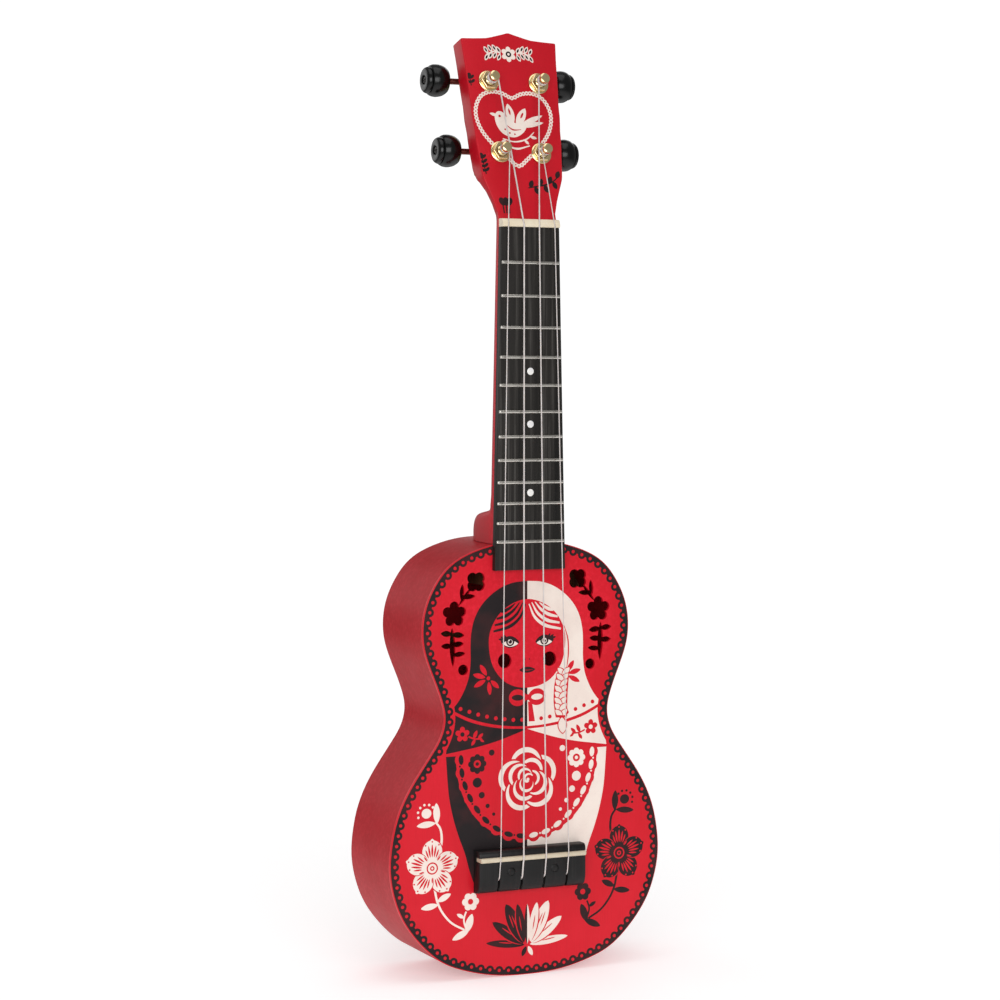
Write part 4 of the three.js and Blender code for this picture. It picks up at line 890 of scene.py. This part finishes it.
# face: bare paint, with simple printed features
B.add(NO_INK, spline([(0, 209.6), (9.5, 207.2), (17.4, 201.4), (22.4, 192.8), (23.3, 184.0), (21.2, 173.8), (15.6, 165.8), (8.4, 161.6), (0, 160.3), (-8.4, 161.6), (-15.6, 165.8), (-21.2, 173.8), (-23.3, 184.0), (-22.4, 192.8), (-17.4, 201.4), (-9.5, 207.2)], 10, True))
hair = [stroke(spline(p, 10), 0.5, 1.5, 1.9, 1.1) for p in (
    [(7.4, 207.4), (10.4, 205.1), (13.4, 203.6), (16.0, 202.9)], [(4.7, 207.8), (8.4, 203.6), (13.2, 200.6), (18.6, 199.2)],
    [(2.7, 207.6), (6.4, 201.5), (12.2, 197.4), (19.8, 195.7)], [(1.0, 206.8), (4.6, 199.4), (11.0, 194.6), (20.6, 192.3)])]
B.both(hair)
B.add(NO_INK, stroke(spline([(22.6, 194.0), (24.9, 186.5), (25.2, 178.0), (24.2, 170.0)], 8), 0.35, 0.8, 0.8, 0.35))
for m in (-1, 1):
    F_ = (lambda p: p) if m > 0 else flip
    B.add(KK, F_(leaf(4.9, 185.7, 16.2, 186.5, 3.3, 18, 0.75)))
    for a, ln in ((62, 1.5), (36, 1.8), (10, 1.6)):
        B.add(KK, F_(petal(12.6 + (62 - a) * 0.035, 187.4, rad(a), 0.0, ln + 1.6, 0.62, 8)))
    B.add(CC, F_(leaf(5.6, 185.0, 15.2, 185.4, 1.75, 16, 0.8)))
    B.add(KK, F_(disc(10.4, 186.3, 2.5, 28)))
    B.add(CC, F_(disc(10.4, 186.1, 1.5, 24)))
    B.add(KK, F_(disc(10.4, 186.3, 1.15, 20)))
    B.add(CC, F_(disc(11.1, 187.0, 0.45, 12)))
    B.add(KK, F_(disc(1.3, 176.2, 0.36, 12)))
B.add(KK, leaf(-4.9, 170.3, 4.9, 170.3, 1.65, 16, 0.75))
B.add(NO_INK, stroke([(-3.6, 170.35), (0, 170.05), (3.6, 170.35)], 0.1, 0.34, 0.1))
# shoulder fans
fan = [petal(23.6, 166.6, rad(a), 1.9, r_, 1.45) for a, r_ in ((57, 9.2), (15, 9.6), (-27, 9.8))]
B.both(fan + [disc(23.6, 166.6, 1.1, 20)], NO_INK, NO_INK)
B.add(NO_INK, *[petal(-23.6, 166.6, rad(a), 1.9, r_, 1.35) for a, r_ in ((-84, 9.4), (-42, 8.6))])
# bow at the collar
for m in (-1, 1):
    F_ = (lambda p: p) if m > 0 else flip
    B.add(NO_INK, F_(ellipse(5.9, 155.0, 5.3, 4.7, 0.08, 36)))
    B.add(CC if m > 0 else KK, F_(ellipse(5.9, 155.0, 3.5, 1.65, 0.05, 30)))
B.add(NO_INK, [(0.4, 152.6), (0.9, 141.4), (4.7, 141.4), (2.9, 152.0)])
B.add(NO_INK, disc(0.0, 155.0, 1.7, 24))
# hem dots
hx = [3.2 + 5.3 * k for k in range(8)]
hz = np.interp(hx, [3, 8.5, 14, 19.3, 24.6, 29.8, 35, 39.8], [142.6, 142.8, 143.5, 144.3, 145.5, 146.9, 148.7, 150.5])
B.both([disc(x, z, 1.15, 20) for x, z in zip(hx[1:], hz[1:])], NO_INK, NO_INK)
B.add(NO_INK, disc(-hx[0], hz[0], 1.15, 20))
# plait over the right shoulder
plait = spline([(22.6, 169.4), (20.9, 161.0), (20.4, 152.0), (21.0, 143.0)], 14)
B.add(NO_INK, stroke(plait, 7.2, 8.6, 8.6, 7.2))
for k, (x, z) in enumerate(along(plait, 3.35, 1.2, 1.0)):
    for sg in ((1, -1) if k % 2 else (-1, 1)):
        B.add(NO_INK, leaf(x + sg * 4.0, z + 2.4, x - sg * 1.2, z - 2.5, 2.05, 12))
        B.add(CC, leaf(x + sg * 3.6, z + 2.1, x - sg * 0.9, z - 2.2, 1.45, 12))
B.add(NO_INK, leaf(21.2, 143.4, 21.9, 133.2, 3.0, 14))
B.add(CC, leaf(21.2, 142.6, 21.9, 133.8, 2.4, 14))
B.add(NO_INK, stroke([(17.9, 143.4), (24.3, 143.0)], 1.4))
# band sprigs
band = [bloom(39.2, 136.4, 5, 2.3, 4.3, rad(90), 70, 0.7)]
band += [stroke(spline([(35.6, 135.0), (32.0, 133.6), (27.4, 133.4)], 8), 0.9), leaf(32.6, 133.6, 30.4, 138.2, 1.1), leaf(30.0, 133.4, 26.8, 136.4, 0.95), leaf(31.4, 133.4, 33.8, 129.9, 0.95), leaf(28.8, 133.2, 26.2, 131.6, 0.7)]
B.both(band, NO_INK, NO_INK)
B.both([disc(39.2, 136.4, 1.25, 20)])
# apron flowers
B.both([bloom(30.3, 119.6, 8, 4.5, 5.5, 0, 96, 0.9)])
B.both([disc(30.3, 119.6, 2.2, 24)], NO_INK, NO_INK)
B.both([ring_ for ring_ in [disc(30.3, 119.6, 1.0, 18), disc(30.3, 109.3, 2.75, 28), disc(27.6, 102.2, 1.8, 24), disc(24.1, 96.0, 1.25, 20), disc(20.4, 91.2, 0.95, 18)]])
B.add(CC, disc(21.6, 125.4, 1.7, 22)); B.add(KK, disc(-21.6, 125.4, 1.7, 22))
# rose: overlapping crescents turning in to the middle
rx, rz = 0.4, 109.2
for R_, r_, Rk, rk, n_, turn in ((8.8, 9.3, 6.7, 8.5, 5, 0.45), (5.6, 6.7, 4.0, 6.0, 4, 1.15), (3.0, 4.3, 2.0, 3.7, 3, 0.2)):
    for k in range(n_):
        a = turn + k * 2 * math.pi / n_
        B.add(NO_INK, disc(*ray(rx, rz, a, R_), r_ + 1.0, 44))
        B.add(CC, disc(*ray(rx, rz, a, R_), r_, 44))
        B.add(NO_INK, disc(*ray(rx, rz, a, Rk), rk, 40))
B.add(CC, stroke([ray(rx, rz, 0.6 + q * 0.42, 3.5 - q * 0.24) for q in range(12)], 0.7, 1.3, 1.3, 0.9))
B.add(CC, disc(rx, rz, 0.9, 18))


def bouquet(m):
    """a lace flower with a bud on a stem above it and a small flower on a leafy stem below"""
    F_ = (lambda p: p) if m > 0 else flip
    c = KK if m > 0 else CC
    A_ = lambda *p: B.add(c, *[F_(q) for q in p])
    X_ = lambda *p: B.add(NO_INK, *[F_(q) for q in p])
    cx, cz = 57.2, 63.8
    A_(stroke(spline([(52.6, 73.0), (51.6, 79.4), (52.4, 85.2), (55.2, 89.2)], 8), 1.5, 1.1), leaf(54.4, 88.2, 54.8, 99.6, 2.0, 14), leaf(55.2, 88.6, 66.4, 87.6, 1.75, 14))
    A_(ellipse(60.6, 94.2, 2.9, 2.7, 0, 24)); A_(*[disc(60.6 + 5.1 * math.cos(q), 94.0 + 5.1 * math.sin(q), 0.72, 14) for q in (rad(d) for d in (-20, 12, 44, 76, 108, 138))])
    A_(stroke(spline([(55.8, 52.0), (54.2, 45.0), (51.0, 38.6), (45.6, 32.6), (38.0, 28.2)], 10), 1.3, 1.1), leaf(53.8, 43.4, 64.0, 42.0, 1.75, 14), leaf(54.2, 45.2, 46.2, 49.0, 1.7, 14))
    A_(leaf(37.0, 26.4, 33.4, 36.8, 2.2, 16), leaf(35.4, 27.8, 45.4, 23.2, 1.9, 14), stroke(spline([(36.6, 27.6), (38.4, 34.0), (35.8, 41.0)], 8), 1.0), leaf(38.2, 34.8, 42.6, 37.4, 1.05))
    X_(bloom(34.4, 43.6, 6, 5.2, 5.9, 0, 60)); A_(bloom(34.4, 43.6, 6, 4.0, 5.1, 0, 72)); X_(disc(34.4, 43.6, 1.6, 22))
    for k in range(5):
        a = rad(90) + k * rad(72)
        X_(ellipse(*ray(cx, cz, a, 9.4), 6.6, 6.4, a, 44))
        A_(ellipse(*ray(cx, cz, a, 9.2), 6.3, 5.9, a, 44), petal(cx, cz, a, 12.0, 16.4, 1.5, 10))
    A_(disc(cx, cz, 5.4, 36))
    for k in range(5):
        a = rad(90) + k * rad(72)
        X_(*[petal(cx, cz, a + d, 6.0, r_, h_, 10) for d, r_, h_ in ((-0.36, 11.2, 0.48), (-0.18, 12.8, 0.55), (0, 13.4, 0.6), (0.18, 12.8, 0.55), (0.36, 11.2, 0.48))])
        X_(*[disc(*ray(cx, cz, a + d, r_), 0.5, 12) for d, r_ in ((-0.30, 13.4), (0.30, 13.4), (0, 14.7))], petal(cx, cz, a + rad(36), 5.0, 8.4, 0.45, 8))
    X_(disc(cx, cz, 3.4, 28)); A_(disc(cx, cz, 2.6, 26)); X_(disc(cx, cz, 1.35, 20)); A_(disc(cx, cz, 0.6, 14))


bouquet(1); bouquet(-1)
# lotus at the tail, half and half
for x0_, z0_, x1_, z1_, h_ in ((1.6, 16.8, 25.0, 19.6, 2.1), (2.6, 17.4, 21.2, 31.0, 3.1), (2.4, 17.8, 13.0, 40.4, 3.9), (1.9, 18.2, 6.0, 40.0, 2.5)):
    o_ = leaf(x0_, z0_, x1_, z1_, h_ + 0.75, 18, 0.62)
    B.both([[(max(0.0, x), z) for x, z in o_]], NO_INK, NO_INK)
    B.both([[(max(0.0, x), z) for x, z in leaf(x0_, z0_, x1_, z1_, h_, 18, 0.62)]])
for x0_, z0_, x1_, z1_ in ((9.0, 18.2, 17.5, 19.4), (9.0, 22.8, 15.6, 27.6), (5.8, 26.0, 9.6, 34.0), (8.2, 26.6, 11.2, 34.6), (3.4, 24.6, 4.9, 33.2)):
    B.both([leaf(x0_, z0_, x1_, z1_, 0.34, 12)], NO_INK, NO_INK)
B.both([[(max(0.0, x), z) for x, z in leaf(0.0, 17.0, 0.0, 39.6, 1.7, 16)], leaf(0.6, 15.8, 3.2, 10.4, 1.3)])
# edging: a black border along the edge, scalloped inwards by a chain of beads with bare centres,
# and a bare line between it and the printed dress
halves = (list(range(0, NO // 2 + 1)), list(range(NO // 2, NO)) + [0])
lo_ = inset(0.5)
for ink_, d in ((NO_INK, 6.3), (KK, 3.4)):
    hi_ = inset(d)
    for q in halves:
        B.add(ink_, [lo_[i] for i in q] + [hi_[i] for i in q[::-1]])
chain = resample(inset(2.95), 118)
for x, z in chain:
    B.add(KK, disc(x, z, 2.4, 26))
for x, z in chain:
    B.add(NO_INK, disc(x, z, 0.95, 18))
# nothing is printed over the sound holes
for p in HOLES:
    B.add(NO_INK, p, flip(p))
B.build("print_body", on_body)

# headstock: a beaded heart round a plain folk bird, black sprigs, and a flower garland at the top
Hd = Print()
ox = -1.8
hp = spline([(0, 70.0), (5.5, 72.4), (12.0, 73.2), (18.2, 70.8), (22.0, 65.0), (22.8, 58.4), (20.8, 51.4), (16.8, 45.4), (11.4, 39.8), (5.6, 34.6), (0, 30.6),
             (-5.6, 34.6), (-11.4, 39.8), (-16.8, 45.4), (-20.8, 51.4), (-22.8, 58.4), (-22.0, 65.0), (-18.2, 70.8), (-12.0, 73.2), (-5.5, 72.4)], 14, True)
hp = [(x + ox, z) for x, z in hp]
hq = resample(np.array(hp), 70)
for x, z in hq:
    Hd.add(CC, disc(x, z, 1.22, 18))
for i in range(len(hq)):
    Hd.add(NO_INK, disc(hq[i][0], hq[i][1], 0.42, 10))
Hd.add(CC, stroke(spline([(ox - 6.5, 42.6), (ox, 40.6), (ox + 8.0, 42.6)], 8), 0.6, 1.2, 0.6))
# bird
Hd.add(CC, leaf(ox + 3.0, 54.0, ox + 17.6, 60.6, 1.5, 12), leaf(ox + 3.0, 53.4, ox + 17.8, 56.4, 1.4, 12))
Hd.add(CC, petal(ox - 1.0, 54.4, rad(100), 0, 12.4, 2.5, 14), petal(ox + 1.2, 53.4, rad(60), 0, 12.6, 2.5, 14), petal(ox - 2.4, 54.4, rad(132), 0, 7.4, 1.6, 12))
Hd.add(NO_INK, petal(ox - 1.0, 54.4, rad(100), 5.6, 9.8, 0.6, 8), petal(ox + 1.2, 53.4, rad(60), 5.6, 9.8, 0.6, 8))
Hd.add(CC, spline([(ox - 11.6, 58.8), (ox - 9.6, 61.8), (ox - 6.4, 61.4), (ox - 3.8, 57.8), (ox + 1.6, 55.2), (ox + 7.0, 54.4), (ox + 5.0, 50.2), (ox - 0.6, 47.2), (ox - 6.8, 48.6), (ox - 10.6, 53.2)], 10, True), leaf(ox - 14.4, 60.6, ox - 10.0, 59.4, 0.9))
Hd.add(NO_INK, disc(ox - 8.6, 59.2, 0.75, 16), stroke(spline([(ox - 5.4, 54.6), (ox - 1.4, 51.6), (ox + 3.8, 51.8)], 8), 0.3, 0.9, 0.3), disc(ox - 6.0, 51.6, 0.55, 12), disc(ox - 3.4, 49.6, 0.55, 12), disc(ox - 0.4, 49.0, 0.5, 12))
Hd.add(CC, stroke(spline([(ox - 8.0, 46.2), (ox - 1.0, 44.6), (ox + 6.4, 46.4), (ox + 11.4, 50.6)], 8), 0.5, 0.9, 0.5), leaf(ox + 8.6, 48.0, ox + 12.8, 47.0, 0.9), leaf(ox + 5.0, 46.0, ox + 7.6, 43.4, 0.8), leaf(ox - 6.0, 45.8, ox - 9.4, 43.6, 0.8))
for px, ps, a, ln in ((-25.6, 76.2, 96, 5.6), (-22.0, 25.4, 100, 10.4)):
    stem_ = [ray(px, ps, rad(a), u) for u in np.linspace(0, ln, 6)]
    Hd.add(KK, stroke(stem_, 0.7, 0.55), disc(*ray(px, ps, rad(a), ln + 0.7), 1.15, 16))
    for u in np.arange(1.6, ln - 1.0, 2.5):
        for sg in (-1, 1):
            tip = ray(*ray(px, ps, rad(a), u), rad(a + sg * 58), 1.7)
            Hd.add(KK, ellipse(tip[0], tip[1], 1.6, 0.85, rad(a + sg * 58), 16))
# a closed bud on three short stems
for dx in (-2.0, 0.0, 2.0):
    Hd.add(KK, stroke([(-12.0 + dx * 0.8, 3.2), (-12.0 + dx, 8.8)], 0.75, 0.75))
for dx, w_ in ((-2.3, 62), (0.0, 90), (2.3, 118)):
    Hd.add(KK, ellipse(-12.0 + dx * 0.95, 9.9, 2.5, 1.75, rad(180 - w_), 18))
branch = spline([(2.6, 18.2), (8.0, 19.2), (13.6, 20.4), (18.4, 22.6), (22.2, 26.0)], 8)
Hd.add(KK, stroke(branch, 0.6, 0.95, 0.5))
for (x, z), up in zip(along(branch, 3.0, 1.0, 0.5), (1, -1) * 7):
    Hd.add(KK, leaf(x, z, x + 2.0, z + up * 4.3, 1.45, 10))
# garland: a flower between two leafy scrolls
gx, gs = -1.0, 95.6
for m in (-1, 1):
    G = spline([(gx + m * 3.8, gs - 0.2), (gx + m * 8.2, gs + 1.3), (gx + m * 13.4, gs - 0.6)], 8)
    Hd.add(CC, stroke(G, 0.9, 0.7))
    for k, (x, z) in enumerate(along(G, 2.7, 1.0)):
        Hd.add(CC, leaf(x, z, x + m * 2.3, z + 4.1, 1.15, 10), leaf(x, z, x + m * 2.3, z - 4.1, 1.15, 10))
        Hd.add(KK, leaf(x + m * 0.5, z + 0.9, x + m * 1.9, z + 3.3, 0.55, 8), leaf(x + m * 0.5, z - 0.9, x + m * 1.9, z - 3.3, 0.55, 8))
Hd.add(NO_INK, disc(gx, gs, 4.9, 28)); Hd.add(CC, bloom(gx, gs, 6, 2.9, 4.5, rad(90), 84)); Hd.add(KK, disc(gx, gs, 1.7, 22)); Hd.add(CC, disc(gx, gs, 0.75, 16))
for t in TUNERS:
    Hd.add(NO_INK, disc(t["x"], t["s"], 5.7, 30))
# nothing is printed past the edges of the face
gs_ = np.linspace(HEAD_HALF[0][0], HEAD_HALF[-1][0], 60)
gw_ = pchip([t[0] for t in HEAD_HALF], [t[1] for t in HEAD_HALF], gs_)
for m in (-1, 1):
    Hd.add(NO_INK, [(m * (w - 0.6), q) for q, w in zip(gs_, gw_)] + [(m * 60, gs_[-1]), (m * 60, gs_[0])])
Hd.build("print_head", on_head)

# ---------------------------------------------------------------- stage, light, camera
# the pale floor fades out into the white surroundings, so that no horizon shows
me = bpy.data.meshes.new("floor")
fr = [0.0, 0.3, 0.6, 1.0, 1.6, 2.4, 3.4]
fv = [(0.0, 0.0, 0.0)] + [(r * math.cos(2 * math.pi * k / 64), r * math.sin(2 * math.pi * k / 64), 0.0) for r in fr[1:] for k in range(64)]
ff = [(0, 1 + k, 1 + (k + 1) % 64) for k in range(64)] + [(1 + i * 64 + k, 1 + (i + 1) * 64 + k, 1 + (i + 1) * 64 + (k + 1) % 64, 1 + i * 64 + (k + 1) % 64) for i in range(len(fr) - 2) for k in range(64)]
me.from_pydata(fv, [], ff)
floor = bpy.data.objects.new("floor", me)
bpy.context.scene.collection.objects.link(floor)
fm = Mat("floor_pale")
fc = fm.mix(fm.range(fm.noise(3, 2), 0.0, 0.02), srgb(247, 247, 247), srgb(240, 240, 240))
fm.set(Base_Color=fc, Roughness=0.9, Specular_IOR_Level=0.0, Emission_Color=(1, 1, 1, 1), Emission_Strength=0.34)
ln = fm.t.nodes.new("ShaderNodeVectorMath"); ln.operation = "LENGTH"
fm.link(fm.co, ln.inputs[0])
fade = fm.t.nodes.new("ShaderNodeMapRange"); fade.interpolation_type = "SMOOTHERSTEP"
fm.link(ln.outputs["Value"], fade.inputs["Value"])
fade.inputs["From Min"].default_value, fade.inputs["From Max"].default_value = 0.12, 1.3
tr, mx = fm.t.nodes.new("ShaderNodeBsdfTransparent"), fm.t.nodes.new("ShaderNodeMixShader")
fm.link(fade.outputs["Result"], mx.inputs[0]); fm.link(fm.b.outputs[0], mx.inputs[1]); fm.link(tr.outputs[0], mx.inputs[2])
fm.link(mx.outputs[0], fm.t.nodes["Material Output"].inputs["Surface"])
me.materials.append(fm.m)
floor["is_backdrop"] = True

world = bpy.context.scene.world or bpy.data.worlds.new("world")
bpy.context.scene.world = world
world.use_nodes = True
wt = world.node_tree
bg = wt.nodes["Background"]
bg.inputs[0].default_value = (1, 1, 1, 1)
# white where the camera sees it, dimmer where it lights the paint, dimmer still in glossy reflections
lp = wt.nodes.new("ShaderNodeLightPath")
g1 = wt.nodes.new("ShaderNodeMath"); g1.operation = "MULTIPLY_ADD"
g2 = wt.nodes.new("ShaderNodeMath"); g2.operation = "MULTIPLY_ADD"
wt.links.new(lp.outputs["Is Glossy Ray"], g1.inputs[0]); g1.inputs[1].default_value = -0.12; g1.inputs[2].default_value = 0.40
wt.links.new(lp.outputs["Is Camera Ray"], g2.inputs[0]); g2.inputs[1].default_value = 0.66; wt.links.new(g1.outputs[0], g2.inputs[2])
wt.links.new(g2.outputs[0], bg.inputs[1])


def area(name, loc, target, size, power):
    ld = bpy.data.lights.new(name, "AREA")
    ld.shape, ld.size, ld.size_y, ld.energy = "RECTANGLE", size[0], size[1], power
    lo = bpy.data.objects.new(name, ld)
    lo.location = loc
    lo.rotation_mode = "QUATERNION"
    lo.rotation_quaternion = (Vector(target) - Vector(loc)).to_track_quat("-Z", "Y")
    bpy.context.scene.collection.objects.link(lo)


area("key", (-0.55, -1.45, 0.5), (0, 0, 0.2), (1.5, 0.8), 14)
area("top", (-0.2, -0.4, 1.8), (0, 0, 0.3), (1.3, 1.3), 6)
area("back", (0.9, 1.2, 0.9), (0, 0, 0.25), (0.9, 1.2), 4)
area("edge", (-0.75, 1.3, 0.75), (0, 0, 0.4), (0.9, 0.9), 2.5)

yaw, pitch = math.radians(24.3119), math.radians(-2.5792)
fwd = Vector((math.sin(yaw) * math.cos(pitch), math.cos(yaw) * math.cos(pitch), math.sin(pitch)))
right = Vector((math.cos(yaw), -math.sin(yaw), 0))
up = right.cross(fwd)
cd = bpy.data.cameras.new("camera")
cam = bpy.data.objects.new("camera", cd)
bpy.context.scene.collection.objects.link(cam)
cd.sensor_width, cd.lens = 36.0, 2561.93 * 36 / 1000
cd.clip_start, cd.clip_end = 0.05, 100
cam.matrix_world = Matrix(((right.x, up.x, -fwd.x, -0.59568), (right.y, up.y, -fwd.y, (YF - 1281.83) * MM), (right.z, up.z, -fwd.z, 0.32804), (0, 0, 0, 1)))
bpy.context.scene.camera = cam
bpy.context.scene.view_settings.view_transform = "Standard"

lo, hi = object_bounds()
